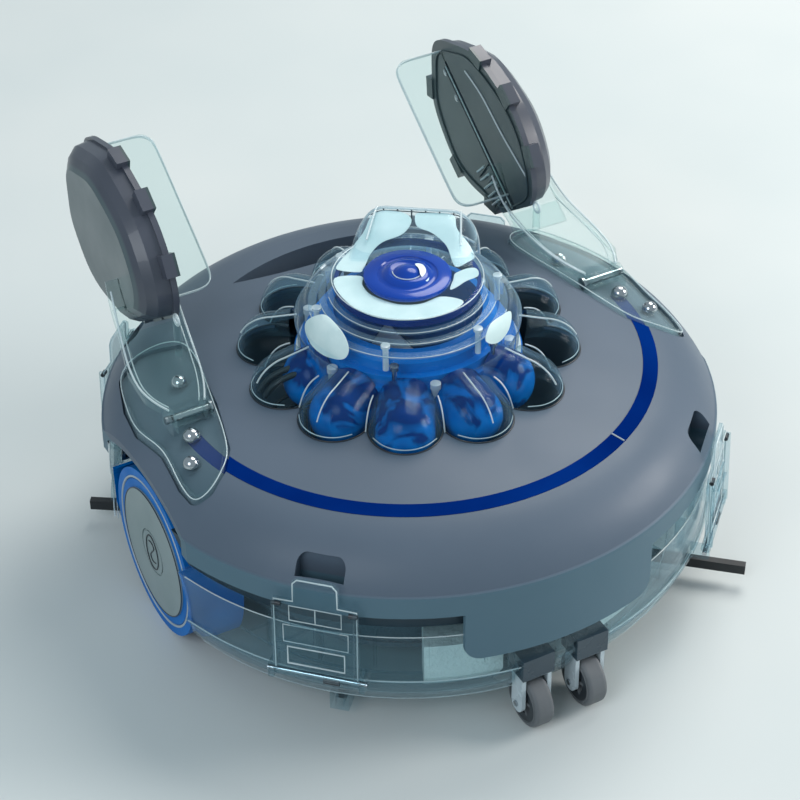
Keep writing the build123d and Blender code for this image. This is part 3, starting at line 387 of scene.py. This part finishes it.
# EDGE: pale, nearly opaque clear plastic for real edges, ribs and crests; their brightness is a painted
# highlight, the light that clear edges catch.
EDGE = clear("clear_edge", (0.92, 0.97, 0.98), (0.80, 0.90, 0.92), 0.55, 0.85, rough=0.12, ripple=0.0)
AIR = air_material()
SCOOP = scoop_material()
PETAL = clear("petal_clear", (0.88, 0.96, 0.98), (0.12, 0.20, 0.26), 0.03, 0.75,
              rough=0.04, ripple=0.3, edge=2.8, coat=0.4, gloss=0.4)
SHELL = clear("dome_clear", (0.96, 0.99, 1.0), (0.36, 0.54, 0.64), 0.025, 0.7,
              rough=0.03, ripple=0.35, edge=2.8)
# BAND: pale translucent rings for the painted highlights on the dome's steps.
BAND = clear("dome_band", (0.92, 0.97, 1.0), (0.46, 0.64, 0.74), 0.08, 0.55, rough=0.06, ripple=0.3)
INNER_RING = moulded("inner_ring", (0.001, 0.018, 0.13), (0.002, 0.030, 0.20), (0.2, 0.3),
                     coat=0.1, gloss=0.1)
SHADE = moulded("shade", (0.010, 0.014, 0.020), (0.020, 0.026, 0.034), (0.3, 0.45))
GREY_LINE = moulded("grey_line", (0.30, 0.36, 0.40), (0.40, 0.46, 0.50), (0.3, 0.45))
NODE_MATERIALS = {
    "nozzle_cap": CAP_BLUE,
    "petal_collar": PETAL,
    "fin_blade_right": SHEET,
    "fin_blade_left": SHEET,
    "fin_bracket_right": SHEET,
    "fin_bracket_left": SHEET,
}


def dress_nodes():
    """Give every CAD node the material of its slot."""
    for part in frame["record"]["subparts"]:
        node = nodes[part["node"]]
        node.data.materials.clear()
        node.data.materials.append(NODE_MATERIALS.get(part["node"], MATERIALS[part["material_slot"]]))


# ---------------------------------------------------------------- piece helpers
def place(piece, material, body, slot):
    """Put a finished object in the scene, with its material, on its body. The slot argument is not used."""
    if piece.name not in scene.collection.objects:
        scene.collection.objects.link(piece)
    piece.data.materials.clear()
    piece.data.materials.append(material)
    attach(piece, body)
    return piece


def mesh_object(name, points, faces, smooth=True):
    mesh = bpy.data.meshes.new(name)
    mesh.from_pydata([tuple(p) for p in points], [], faces)
    mesh.validate()
    if smooth:
        mesh.shade_smooth()
    return bpy.data.objects.new(name, mesh)


def loft(name, rings, cap_ends=True, smooth=True):
    """Skin over rings of equal length; each ring is closed."""
    count = len(rings[0])
    points = [p for ring in rings for p in ring]
    faces = []
    for k in range(len(rings) - 1):
        for i in range(count):
            j = (i + 1) % count
            faces.append((k * count + i, k * count + j, (k + 1) * count + j, (k + 1) * count + i))
    if cap_ends:
        faces.append(tuple(reversed(range(count))))
        faces.append(tuple((len(rings) - 1) * count + i for i in range(count)))
    return mesh_object(name, points, faces, smooth)


def sharpen(piece, angle=35.0):
    """Smooth shading that keeps edges sharper than an angle."""
    mesh = bmesh.new()
    mesh.from_mesh(piece.data)
    bmesh.ops.recalc_face_normals(mesh, faces=mesh.faces)
    for edge in mesh.edges:
        edge.smooth = len(edge.link_faces) != 2 or edge.calc_face_angle(0.0) < math.radians(angle)
    mesh.to_mesh(piece.data)
    mesh.free()
    return piece


def bead(name, points, radius, body, slot="clear", material=None, cyclic=False, smooth=True):
    """Thin round line along points: the edge of a clear moulding, a rib or a seam. In the pale EDGE material
    its brightness is a painted highlight.
    """
    curve = bpy.data.curves.new(name, "CURVE")
    curve.dimensions = "3D"
    curve.bevel_depth = radius * MM
    curve.bevel_resolution = 2
    curve.use_fill_caps = True
    spline = curve.splines.new("NURBS" if smooth else "POLY")
    spline.points.add(len(points) - 1)
    for target, point in zip(spline.points, points):
        target.co = (*point, 1.0)
    if smooth:
        spline.order_u = 3
        spline.use_endpoint_u = not cyclic
        spline.resolution_u = 4
    spline.use_cyclic_u = cyclic
    piece = bpy.data.objects.new(name, curve)
    return place(piece, material or EDGE, body, slot)


SIDES = (("right", 1.0), ("left", -1.0))

# ---------------------------------------------------------------- cover profile, as in the CAD
CROWN_MID_R, CROWN_TOP_Z, CROWN_ARC = 70.0, 158.2, 450.0
SHOULDER_START_R, BODY_R, STEP_Z = 158.0, 196.0, 121.0
CROWN_CZ = CROWN_TOP_Z - CROWN_ARC
SLOPE = math.asin((SHOULDER_START_R - CROWN_MID_R) / CROWN_ARC)
START_Z = CROWN_CZ + CROWN_ARC * math.cos(SLOPE)
DROP_R, DROP_Z = BODY_R - SHOULDER_START_R, START_Z - STEP_Z
SHOULDER_ARC = (DROP_R**2 + DROP_Z**2) / (2 * (DROP_Z * math.cos(SLOPE) - DROP_R * math.sin(SLOPE)))
SHOULDER_CR = SHOULDER_START_R - SHOULDER_ARC * math.sin(SLOPE)
SHOULDER_CZ = START_Z - SHOULDER_ARC * math.cos(SLOPE)


def skin_z(x, y, lift=0.0):
    """Height of the cover's skin, or of a layer above it, over a point."""
    r = math.hypot(x, y)
    if r <= SHOULDER_START_R:
        return CROWN_CZ + math.sqrt((CROWN_ARC + lift) ** 2 - (r - CROWN_MID_R) ** 2)
    return SHOULDER_CZ + math.sqrt((SHOULDER_ARC + lift) ** 2 - (r - SHOULDER_CR) ** 2)


def closed_curve(points, steps=5):
    """Smooth closed outline through points (Catmull-Rom)."""
    count = len(points)
    smooth = []
    for i in range(count):
        a, b, c, d = (points[(i + k - 1) % count] for k in range(4))
        for s in range(steps):
            t = s / steps
            smooth.append(tuple(
                0.5 * (2 * q + (r - p) * t + (2 * p - 5 * q + 4 * r - w) * t * t
                       + (3 * q - p - 3 * r + w) * t**3)
                for p, q, r, w in zip(a, b, c, d)))
    return smooth


def film(name, outline, surface, material, body, slot, thick=0.25, steps=5):
    """Thin patch with a smooth outline that follows a surface, such as trapped air under clear plastic."""
    edge = closed_curve(outline, steps)
    cu = sum(p[0] for p in edge) / len(edge)
    cv = sum(p[1] for p in edge) / len(edge)
    count = len(edge)
    points = []
    for lift in (0.0, thick):
        for share in (1.0, 0.75, 0.5, 0.25):
            points += [surface(cu + (u - cu) * share, cv + (v - cv) * share, lift) for u, v in edge]
        points.append(surface(cu, cv, lift))
    layer = 4 * count + 1
    faces = []
    for side in (0, 1):
        base = side * layer
        for k in range(3):
            for i in range(count):
                j = (i + 1) % count
                near, far = base + k * count, base + (k + 1) * count
                quad = (near + i, near + j, far + j, far + i)
                faces.append(quad if side else quad[::-1])
        for i in range(count):
            j = (i + 1) % count
            tip = (base + 3 * count + i, base + 3 * count + j, base + layer - 1)
            faces.append(tip if side else tip[::-1])
    for i in range(count):
        j = (i + 1) % count
        faces.append((i, j, layer + j, layer + i))
    return place(sharpen(mesh_object(name, points, faces), 50), material, body, slot)


def lathe(name, outline, frame_at, material, body, slot, steps=40, closed=False, angle=40.0):
    """Turned piece: outline as (radius, height), put in place by frame_at(x, y, z)."""
    count = len(outline)
    points = []
    for s in range(steps):
        a = 2 * math.pi * s / steps
        points += [frame_at(r * math.cos(a), r * math.sin(a), z) for r, z in outline]
    faces = []
    for s in range(steps):
        n = (s + 1) % steps
        for k in range(count if closed else count - 1):
            m = (k + 1) % count
            faces.append((s * count + k, n * count + k, n * count + m, s * count + m))
    piece = mesh_object(name, points, faces)
    mesh = bmesh.new()
    mesh.from_mesh(piece.data)
    bmesh.ops.remove_doubles(mesh, verts=mesh.verts, dist=1e-6)
    mesh.to_mesh(piece.data)
    mesh.free()
    return place(sharpen(piece, angle), material, body, slot)


def spun(x, y, z, degrees):
    """Point turned about the body's axis; positive goes from +Y towards -X."""
    a = math.radians(degrees)
    return mm(x * math.cos(a) - y * math.sin(a), x * math.sin(a) + y * math.cos(a), z)


# ---------------------------------------------------------------- nozzle
NOZZLE_REST = -36.0
DOME_TOP, DOME_FLAT_R = 212.0, 47.0
MOUTH_Y, MOUTH_TOP, MOUTH_HALF = 58.0, 225.0, 39.0
SPOUT_EDGE_X, SPOUT_EDGE_Y = 27.0, 30.0
SHOULDER_PROFILE = [
    (69.6, 158.8), (70.0, 165.0), (70.2, 176.0), (70.2, 181.6), (71.6, 182.6), (71.6, 185.0), (70.2, 186.0),
    (69.6, 188.2), (67.6, 192.0), (66.2, 192.4), (64.4, 196.4), (62.2, 199.6), (60.8, 200.0), (58.2, 203.6),
    (56.6, 204.0), (53.6, 207.6), (52.0, 208.0), (49.4, 210.8), (47.6, 211.9), (44.0, 212.0), (27.6, 212.0),
]


def nozzle_point(x, y, z):
    return spun(x, y, z, NOZZLE_REST)


def smooth_step(t):
    t = min(max(t, 0.0), 1.0)
    return t * t * (3 - 2 * t)


def dome_z(r):
    """Height of the dome's smooth outer skin."""
    if r <= DOME_FLAT_R:
        return DOME_TOP
    share = min(1.0, (r - DOME_FLAT_R) / (70.8 - DOME_FLAT_R))
    return DOME_TOP - 26.0 * (1 - math.sqrt(max(0.0, 1 - share ** 2.1)))


def roof_z(y):
    return DOME_TOP + (MOUTH_TOP - DOME_TOP) * smooth_step((y - 8.0) / 56.0) * 1.02


def hood_z(x, y):
    """Height of the hood: level in the middle, with rounded shoulders down to the dome."""
    foot = dome_z(math.hypot(MOUTH_HALF, y))
    s = min(max((abs(x) - 20.0) / (MOUTH_HALF - 20.0), 0.0), 1.0)
    return foot + (roof_z(y) - foot) * (1 - s ** 2.3) ** (1 / 2.3)


def make_dome():
    dome = lathe("dome_shell", SHOULDER_PROFILE, nozzle_point, SHELL, "nozzle", "clear", 128, angle=60.0)
    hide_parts("nozzle_dome")
    across, along = 48, 30
    points, faces = [], []
    for lift in (0.0, -1.6):
        for j in range(along + 1):
            y = 14.0 + (MOUTH_Y - 14.0) * j / along
            for i in range(across + 1):
                x = (MOUTH_HALF + lift * 0.6) * math.sin(math.pi / 2 * (2 * i / across - 1))
                points.append(nozzle_point(x, y, hood_z(x, y) + lift))
    layer = (across + 1) * (along + 1)
    for side in (0, 1):
        for j in range(along):
            for i in range(across):
                a = side * layer + j * (across + 1) + i
                quad = (a, a + 1, a + across + 2, a + across + 1)
                faces.append(quad if side == 0 else quad[::-1])
    last = along * (across + 1)
    for i in range(across):
        a = last + i
        faces.append((a, a + 1, layer + a + 1, layer + a))
    hood = mesh_object("spout_hood", points, faces)
    place(hood, SHELL, "nozzle", "clear")
    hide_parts("nozzle_dome")
    rim = []
    for i in range(25):
        x = MOUTH_HALF * math.sin(math.pi / 2 * (2 * i / 24 - 1))
        rim.append(nozzle_point(x, MOUTH_Y - 0.6, hood_z(x, MOUTH_Y) - 0.8))
    bead("spout_rim", rim, 0.9, "nozzle")
    lip_y = MOUTH_Y - 3.0
    low = [nozzle_point(x, lip_y, dome_z(math.hypot(x, lip_y)) + 0.6) for x in range(-36, 37, 6)]
    bead("spout_lip", low, 0.8, "nozzle")
    for i, x in enumerate((-22.5, -13.5, -4.5, 4.5, 13.5, 22.5)):
        top = hood_z(x, MOUTH_Y) - 1.4
        tooth = [nozzle_point(x, MOUTH_Y - 1.2, z) for z in (top, top - 9.0)]
        bead(f"spout_tooth_{i}", tooth, 0.5, "nozzle", "dark_plastic", SHADE, smooth=False)
    under = [p - Vector((0, 0, 2.2 * MM)) for p in rim[5:-5]]
    bead("spout_rim_shade", under, 0.35, "nozzle", "dark_plastic", SHADE)
    for side, sign in SIDES:
        line = []
        for k in range(9):
            y = SPOUT_EDGE_Y + (MOUTH_Y - SPOUT_EDGE_Y) * k / 8
            x = SPOUT_EDGE_X + 3 * (1 - k / 8)
            line.append(nozzle_point(sign * x, y, hood_z(sign * SPOUT_EDGE_X, y) + 0.2))
        bead(f"spout_edge_{side}", line, 0.7, "nozzle")


def ring_bead(name, radius, z, thick, body, slot="clear", material=None, around=nozzle_point,
              start=0.0, end=360.0):
    """Bead round a circle, or part of one; angles run from +X."""
    span = end - start
    count = max(12, int(abs(span) / 5))
    closed = abs(span) >= 360
    points = []
    for k in range(count if closed else count + 1):
        a = math.radians(start + span * k / count)
        points.append(around(radius * math.cos(a), radius * math.sin(a), z))
    return bead(name, points, thick, body, slot, material, closed)


CAP_PROFILE = [
    (0.0, 210.8), (27.4, 210.8), (27.4, 212.9), (26.4, 213.6), (19.2, 213.6), (18.4, 212.8),
    (16.6, 212.8), (15.6, 213.6), (13.4, 215.4), (11.6, 215.8), (10.2, 215.0), (8.6, 214.8),
    (7.2, 215.8), (5.0, 217.2), (2.4, 217.9), (0.0, 218.1),
]


def make_cap():
    cap = lathe("cap_body", CAP_PROFILE, nozzle_point, CAP_BLUE, "nozzle", "pump_blue", 96)
    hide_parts("nozzle_cap")
    ring_bead("cap_glint", 9.4, 215.4, 0.35, "nozzle", start=190, end=330)


def make_dome_details():
    ring_bead("dome_flat_edge", 47.4, 211.9, 0.4, "nozzle")
    lathe("dome_inner_ring", [(43.5, 209.3), (46.0, 209.3), (46.0, 205.4), (43.5, 205.4)], nozzle_point,
          INNER_RING, "nozzle", "pump_blue", 96, True)
    # Painted highlights on the dome's steps: pale bands on three flats, with bright lines along part of their
    # outer edges.
    for i, (low, high, z) in enumerate(((47.0, 50.2, 204.2), (51.6, 55.8, 200.0), (57.4, 62.6, 194.6))):
        lathe(f"dome_band_{i}", [(low, z), (high, z - 0.6), (high, z - 1.8), (low, z - 1.8)], nozzle_point,
              BAND, "nozzle", "clear", 96, True)
        ring_bead(f"dome_band_line_{i}", high, z - 0.4, 0.3, "nozzle", start=200, end=356)
    for i in range(6):
        angle = 60 * i + 24
        post = [(0.0, 184.0), (1.9, 184.0), (1.9, 200.5), (3.0, 200.6), (3.0, 202.4), (0.0, 202.9)]

        def at(x, y, z, angle=angle):
            c = math.radians(angle)
            return nozzle_point(59.0 * math.cos(c) + x, 59.0 * math.sin(c) + y, z - 2)
        lathe(f"dome_post_{i}", post, at, EDGE, "nozzle", "clear", 14)
        low = [(0.0, 161.0), (2.6, 161.0), (2.6, 172.0), (3.4, 172.4), (3.4, 176.0), (0.0, 177.0)]

        def below(x, y, z, angle=angle + 28):
            c = math.radians(angle)
            return nozzle_point(65.8 * math.cos(c) + x, 65.8 * math.sin(c) + y, z)
        lathe(f"dome_low_post_{i}", low, below, EDGE, "hull", "clear", 14)


AIR_PATCHES = {
    "rear_left": [(-29, 54), (-14, 56), (-5, 52), (-3.8, 45.7), (-8.5, 37.7), (-20, 31), (-26, 22),
                  (-29.3, 9.2), (-30.5, 3.4), (-44.6, 4.4), (-45, 12), (-40, 27), (-33, 40)],
    "rear_right": [(-1.6, 54), (4, 56), (22, 56), (26, 45), (35, 35), (39, 27), (34.6, 19.6), (27.9, 15.7),
                   (21, 31), (11, 40), (0.6, 44.5)],
    "right": [(29.5, 9.6), (40.2, 16.1), (43.4, 8.0), (36.5, 1.1), (31.2, -6.4), (27.6, -8.8), (28.4, 1.5)],
    "front": [(-45, -5), (-29, -1), (-26.8, -10.6), (-19.5, -20.8), (-3, -28.4), (11.5, -26.5), (23, -17.5),
              (37, -20.5), (32, -31), (18, -41.5), (-4, -45.2), (-23.5, -39), (-39.5, -22)],
}


def under_top(x, y, lift):
    return nozzle_point(x, y, (hood_z(x, y) if y > 12 else DOME_TOP) - 2.3 + lift)


def dome_side(angle, z, lift):
    """Point just inside the dome's wall, by angle from the mouth's left and height."""
    if z < 186:
        radius = 69.4
    else:
        share = min(1.0, (DOME_TOP - z) / 26.0)
        radius = DOME_FLAT_R + 24.0 * (1 - (1 - share) ** 2) ** (1 / 2.1) - 2.0
    a = math.radians(angle)
    return nozzle_point((radius + lift) * math.cos(a), (radius + lift) * math.sin(a), z)


def cap_top(x, y, lift):
    return nozzle_point(x, y, 217.6 - 0.016 * (x * x + y * y) + lift)


def make_air():
    # The air pockets are real; their pale, silvery look is painted on as a reflection.
    patches = [(name, outline, under_top) for name, outline in AIR_PATCHES.items()]
    patches += [
        ("side_low", [(212, 188), (209, 194), (213, 201), (220, 206), (230, 206), (240, 203), (245, 197),
                      (243, 190), (234, 186), (222, 185)], dome_side),
        ("side_high", [(322, 196), (330, 190), (342, 191), (350, 198), (338, 202), (328, 202)], dome_side),
        ("cap", [(4, 6), (8, 8), (12, 3), (14, -4), (13, -8), (9, -5), (7, 1)], cap_top),
    ]
    for name, outline, surface in patches:
        film(f"air_{name}", outline, surface, AIR, "nozzle", "bearing_white")


# ---------------------------------------------------------------- petals and drum
PETAL_AT, PETAL_R, PETAL_Z = 86.0, 22.8, 157.0
PETAL_RISE = 0.15              # how much a petal climbs per millimetre towards the dome
CREST_START, CREST_LOW = 70.0, 28.0
VALLEY_LINE = ((76, 174.0), (80, 173.6), (85, 171.4), (90, 165.5), (92.6, 158.6))
PLAIN_PETAL = 11               # the petal that is seen square on gets no painted crest highlight
THIN_CRESTS = (0, 10)
CABLE_LINE = ((6, -66, 168), (3, -76, 170), (-1, -88, 167), (-4, -97, 161), (-5, -101, 154))
SCOOP_R, SCOOP_START, SCOOP_NOSE = 18.6, 62.0, 14.0
SCOOPS = ((-90, 72.0), (-60, 84.0), (-30, 91.0), (0, 84.0), (30, 74.0))


def crest_highlight(angle):
    """Points along the top of a petal, from the dome to its nose, where its painted highlight runs. Angle is
    counted from the front.
    """
    line = []
    for k in range(3):
        y = CREST_START + (PETAL_AT - CREST_START) * k / 3
        line.append(spun(0.0, -y, PETAL_Z + (PETAL_AT - y) * PETAL_RISE + PETAL_R, angle))
    for k in range(9):
        e = math.radians(90 - (90 - CREST_LOW) * k / 8)
        line.append(spun(0.0, -PETAL_AT - PETAL_R * math.cos(e), PETAL_Z + PETAL_R * math.sin(e), angle))
    return line


def petal_arc(angle, radius, half, steps, lift):
    """Points round a petal's nose, lift above the cover's skin."""
    line = []
    for k in range(steps + 1):
        a = math.radians(-half + 2 * half * k / steps)
        x, y = radius * math.sin(a), PETAL_AT + radius * math.cos(a)
        line.append(spun(x, -y, skin_z(x, y) + lift, angle))
    return line


def make_petals():
    for i in range(12):
        angle = 30 * i
        # Painted highlight: a pale bead along each petal's crest.
        if i != PLAIN_PETAL:
            bead(f"crest_highlight_{i}", crest_highlight(angle), 0.45 if i in THIN_CRESTS else 0.6, "hull")
        # Painted shadow: a dark line round the gap where each petal rises out of the cover.
        foot = petal_arc(angle, 23.1, 112, 20, 0.15)
        bead(f"petal_foot_shadow_{i}", foot, 0.55, "hull", "dark_plastic", SHADE)
        bead(f"petal_rim_{i}", petal_arc(angle, 22.2, 60, 8, 2.6), 0.35, "hull")
        half = math.radians(15)
        valley = [spun(r * math.sin(half), -r * math.cos(half), z, angle) for r, z in VALLEY_LINE]
        bead(f"petal_valley_{i}", valley, 0.5, "hull")
    for angle, reach in SCOOPS:
        rings = []
        for k in range(13):
            share = k / 12
            y = SCOOP_START + (reach - SCOOP_START) * share + SCOOP_NOSE * share
            drop = max(0.0, (y - reach) / 14.6)
            radius = SCOOP_R * math.sqrt(max(0.02, 1 - drop * drop))
            middle = PETAL_Z + (PETAL_AT - y) * PETAL_RISE
            turns = [2 * math.pi * i / 32 for i in range(32)]
            rings.append([spun(radius * math.cos(a), -y, middle + radius * math.sin(a), angle)
                          for a in turns])
        scoop = loft(f"drum_scoop_{angle + 90}", rings)
        place(sharpen(scoop, 50), SCOOP, "hull", "pump_blue")
    for i, shift in enumerate((-3.6, 3.6)):
        line = [spun(shift + x, y, z, -90) for x, y, z in CABLE_LINE]
        bead(f"petal_cable_{i}", line, 2.0, "hull", "black_rubber", MATERIALS["black_rubber"])


# ---------------------------------------------------------------- fins, legs and brackets
FIN_Y, FIN_Z, FIN_TILT = 93.0, 180.0, math.radians(35.2)
PLATE_TOP = -0.5
BRACKET_PLAN = [(120, 78), (131, 10), (142, -32), (152, -47), (165, -56), (175, -54), (177, -38),
                (175, -8), (179, 22), (175, 50), (164, 84), (148, 92)]
LEG_LINE = [(7.5, 161.5), (32, 163.5), (60, 168.5), (80, 175), (93, 184.5), (102, 200)]


def fin_point(x, u, v):
    return mm(x, FIN_Y + u * math.cos(FIN_TILT) - v * math.sin(FIN_TILT),
              FIN_Z + u * math.sin(FIN_TILT) + v * math.cos(FIN_TILT))


def leg_z(y):
    for (y0, z0), (y1, z1) in zip(LEG_LINE, LEG_LINE[1:]):
        if y <= y1:
            return z0 + (z1 - z0) * (y - y0) / (y1 - y0)
    return LEG_LINE[-1][1]


def make_fins():
    for side, sign in SIDES:
        body = f"fin_{side}"
        outline = [(131, 0), (112, 0), (100, 0), (94, 2), (91, 6), (90, 14), (90, 60), (90, 100),
                   (91, 107), (94, 111), (100, 113), (112, 113.2), (131, 113.2)]
        for k, v in (("front", -1.0), ("back", 1.0)):
            bead(f"blade_edge_{k}_{side}", [fin_point(sign * x, u, v) for x, u in outline], 0.45, body)
        for name, plan in (("inner", [(138, 9), (130, 25), (123, 60), (119, 88), (119, 99)]),
                           ("outer", [(162, 9), (170, 24), (170, 50), (162, 84), (159, 99)]),
                           ("inner_low", [(140.5, 12), (133, 27), (126, 60), (122, 88)]),
                           ("outer_low", [(160, 14), (167, 26), (167, 50), (159.5, 82)])):
            sunk = 0.3 if "low" not in name else 2.4
            line = [mm(sign * x, y, leg_z(y) - sunk) for x, y in plan]
            bead(f"leg_edge_{name}_{side}", line, 0.7 if sunk < 1 else 0.45, body)
        edge = []
        for x, y in closed_curve(BRACKET_PLAN, 3):
            r = math.hypot(x, y)
            inset = 1 - 1.0 / math.hypot(x - 154, y - 18)
            x, y = 154 + (x - 154) * inset, 18 + (y - 18) * inset
            edge.append(mm(sign * x, y, skin_z(x, y, 2.3) if r < 196 else skin_z(x, y, 2.0)))
        bead(f"bracket_edge_{side}", edge, 0.4, "hull", cyclic=True)
        ring = [mm(sign * 131.5, 61 + 3.6 * math.cos(a), 186.5 + 3.6 * math.sin(a))
                for a in (2 * math.pi * k / 16 for k in range(16))]
        bead(f"post_loop_{side}", ring, 1.0, body, cyclic=True)
        dome = [(0.0, 5.4), (2.0, 5.1), (3.9, 4.0), (5.1, 2.2), (5.5, 0.2), (5.5, -0.6), (0.0, -0.6)]
        seat = skin_z(155.0, -7.0, PLATE_TOP)
        lathe(f"hub_screw_{side}", dome, lambda x, y, z, s=sign: mm(s * 155.0 + x, y - 7.0, seat + z),
              MATERIALS["steel"], "hull", "steel", 32)


def make_floats():
    for side, sign in SIDES:
        body = f"fin_{side}"
        for name, v, radius, material, slot in (("seam_dark", -3.4, 0.9, SHADE, "dark_plastic"),
                                                 ("seam_light", -1.9, 0.5, EDGE, "clear")):
            seam = [fin_point(sign * 127.6, u, v) for u in range(-10, 116, 14)]
            bead(f"float_{name}_{side}", seam, radius, body, slot, material)
        arc = [(-4, 36), (14, 33), (34, 30), (52, 29), (70, 27), (86, 21)]
        bead(f"float_arc_{side}", [fin_point(sign * 127.5, u, v) for u, v in arc], 0.6, body)
        rim = closed_curve([(-14, 20), (-8, 33), (10, 45), (36, 50), (61, 45), (88, 33), (102, 17), (114, -4),
                            (104, -22), (92, -36), (73, -43), (52, -46), (36, -41), (18, -30), (-3, -15)], 3)
        bead(f"float_rim_{side}", [fin_point(sign * 127.4, u, v) for u, v in rim], 0.6, body, "float_grey",
             MATERIALS["float_grey"], True)
        for k, (u, v) in enumerate(((100, -7), (80, -8), (12, -9), (-4, -6))):
            lathe(f"float_screw_{k}_{side}", [(0.0, 0.9), (1.6, 0.7), (2.6, 0.0), (2.6, -0.6), (0.0, -0.6)],
                  lambda x, y, z, s=sign, u=u, v=v: fin_point(s * (127.9 - z), u + x, v + y),
                  MATERIALS["steel"], body, "steel", 20)
        for k in range(5):
            u = 2 + 6.5 * k
            rib = [fin_point(sign * 126.8, u, -11), fin_point(sign * 126.8, u + 2, -24)]
            bead(f"float_rib_{k}_{side}", rib, 0.9, body, smooth=False)


# ---------------------------------------------------------------- wheels and casters
EMBLEM_WAVE = ((4.5, 6.5), (0, 8.5), (-4, 5), (0, 0.5), (4, -4), (0, -8.5), (-4.5, -6))
CASTER_DISH = [(13.6, 0.35), (12.6, 0.3), (8.4, 0.15), (8.4, -0.4), (13.6, -0.4)]


def make_wheels():
    for side, sign in SIDES:
        body = f"wheel_{side}"

        def face(x, y, z, s=sign):
            return mm(s * (182.0 + z), 7.5 + x, 56.6 + y)
        for name, radius, thick, material, slot, z in (
                ("groove", 50.4, 0.9, GREY_LINE, "wheel_grey", -1.6),
                ("rim", 43.2, 0.35, SHADE, "dark_plastic", 0.0)):
            ring_bead(f"wheel_{name}_{side}", radius, z, thick, body, slot, material, face)
        turns = [2 * math.pi * k / 24 for k in range(24)]
        oval = [face(9.0 * math.cos(a), 13.0 * math.sin(a), 0.2) for a in turns]
        bead(f"emblem_ring_{side}", oval, 0.45, body, "dark_plastic", SHADE, True)
        wave = [face(x, y, 0.2) for x, y in EMBLEM_WAVE]
        bead(f"emblem_wave_{side}", wave, 0.4, body, "dark_plastic", SHADE)


def make_casters():
    for end, ysign in (("front", -1.0), ("rear", 1.0)):
        for side, sign in SIDES:
            body = f"caster_{end}_{side}"
            for k, out in enumerate((-1.0, 1.0)):
                def face(x, y, z, s=sign, t=ysign, out=out):
                    return mm(s * 19.0 + out * (6.3 + z), t * 188.0 + x, 18.0 + y)
                lathe(f"{body}_dish_{k}", CASTER_DISH, face, SHADE, body, "dark_plastic", 36, True)
                ring_bead(f"{body}_line_{k}", 14.6, 0.25, 0.5, body, "caster_grey",
                          MATERIALS["caster_grey"], face)


# ---------------------------------------------------------------- latches and tray
LATCH_ANGLES = {"front_right": 44.5, "front_left": -44.5, "rear_right": 135.5, "rear_left": -135.5}
LATCH_LEAN = math.asin(2.4 / 73.0)


def latch_point(angle, x, out, h):
    """Point on a latch: x across, out from its front face, h above the hinge."""
    y, z = -out, h
    lean = -LATCH_LEAN
    y, z = y * math.cos(lean) - z * math.sin(lean), y * math.sin(lean) + z * math.cos(lean)
    return spun(x, y - 201.9, z + 58.0, angle)


LATCH_LINES = (                # name, points as (across, out, up), radius
    ("edge", [(-25.4, 2.2, 3), (-25.4, 2.2, 55.4), (-13.6, 2.2, 55.6), (-13.4, 2.2, 69),
              (-10.6, 2.2, 72.2), (10.6, 2.2, 72.2), (13.4, 2.2, 69), (13.6, 2.2, 55.6),
              (25.4, 2.2, 55.4), (25.4, 2.2, 3)], 0.5),
    ("frame_high", [(-16, 2.4, 41), (-16, 2.4, 52), (16, 2.4, 52), (16, 2.4, 41), (-16, 2.4, 41)], 0.38),
    ("frame_mid", [(-20, 2.4, 24), (-20, 2.4, 37), (20, 2.4, 37), (20, 2.4, 24), (-20, 2.4, 24)], 0.38),
    ("frame_low", [(-17.6, 2.4, 7.4), (-17.6, 2.4, 20.38), (17.6, 2.4, 20.6), (17.6, 2.4, 7.4),
                   (-17.6, 2.4, 7.4)], 0.6),
    ("spine", [(0, 2.4, 41), (0, 2.4, 52)], 0.38),
)
LATCH_PINS = (
    ("pin_0", [(-26.0, 3.0, 53.0), (-20.8, 3.0, 53.0)], 1.5),
    ("pin_1", [(20.8, 3.0, 53.0), (26.0, 3.0, 53.0)], 1.5),
    ("block", [(4, 1.2, -2.4), (14, 1.2, -2.4)], 2.2),
)


def make_latches():
    for name, angle in LATCH_ANGLES.items():
        body = f"latch_{name}"
        for lines, slot, material in ((LATCH_LINES, "clear", EDGE), (LATCH_PINS, "dark_plastic", SHADE)):
            for label, points, radius in lines:
                line = [latch_point(angle, *p) for p in points]
                bead(f"{body}_{label}", line, radius, body, slot, material, smooth=False)


def make_tray_lines():
    for start, end, name in ((-82, -17, "front_right"), (-163, -98, "front_left"), (17, 82, "rear_right"),
                             (98, 163, "rear_left")):
        for k, (radius, z, thick) in enumerate(((195.2, 87.8, 0.4), (195.6, 52.4, 0.45), (193.6, 50.0, 0.3),
                                                (184.6, 28.2, 0.35), (171.8, 20.6, 0.45))):
            ring_bead(f"tray_line_{name}_{k}", radius, z, thick, "hull", around=mm, start=start, end=end)


def make_trim():
    a = math.radians(-90 + 27.2)
    line = []
    for r in (149.2, 153.6, 158.0):
        x, y = r * math.cos(a), r * math.sin(a)
        line.append(mm(x, y, skin_z(x, y, 0.35)))
    bead("trim_split", line, 0.55, "hull", "trim_blue", GREY_LINE, smooth=False)


# ---------------------------------------------------------------- build
make_camera()
make_studio()
dress_nodes()
make_dome()
make_cap()
make_dome_details()
make_air()
make_petals()
make_fins()
make_floats()
make_wheels()
make_casters()
make_latches()
make_tray_lines()
make_trim()
scene.view_settings.view_transform = "Standard"
scene.cycles.transparent_max_bounces = 48
scene.cycles.max_bounces = 16
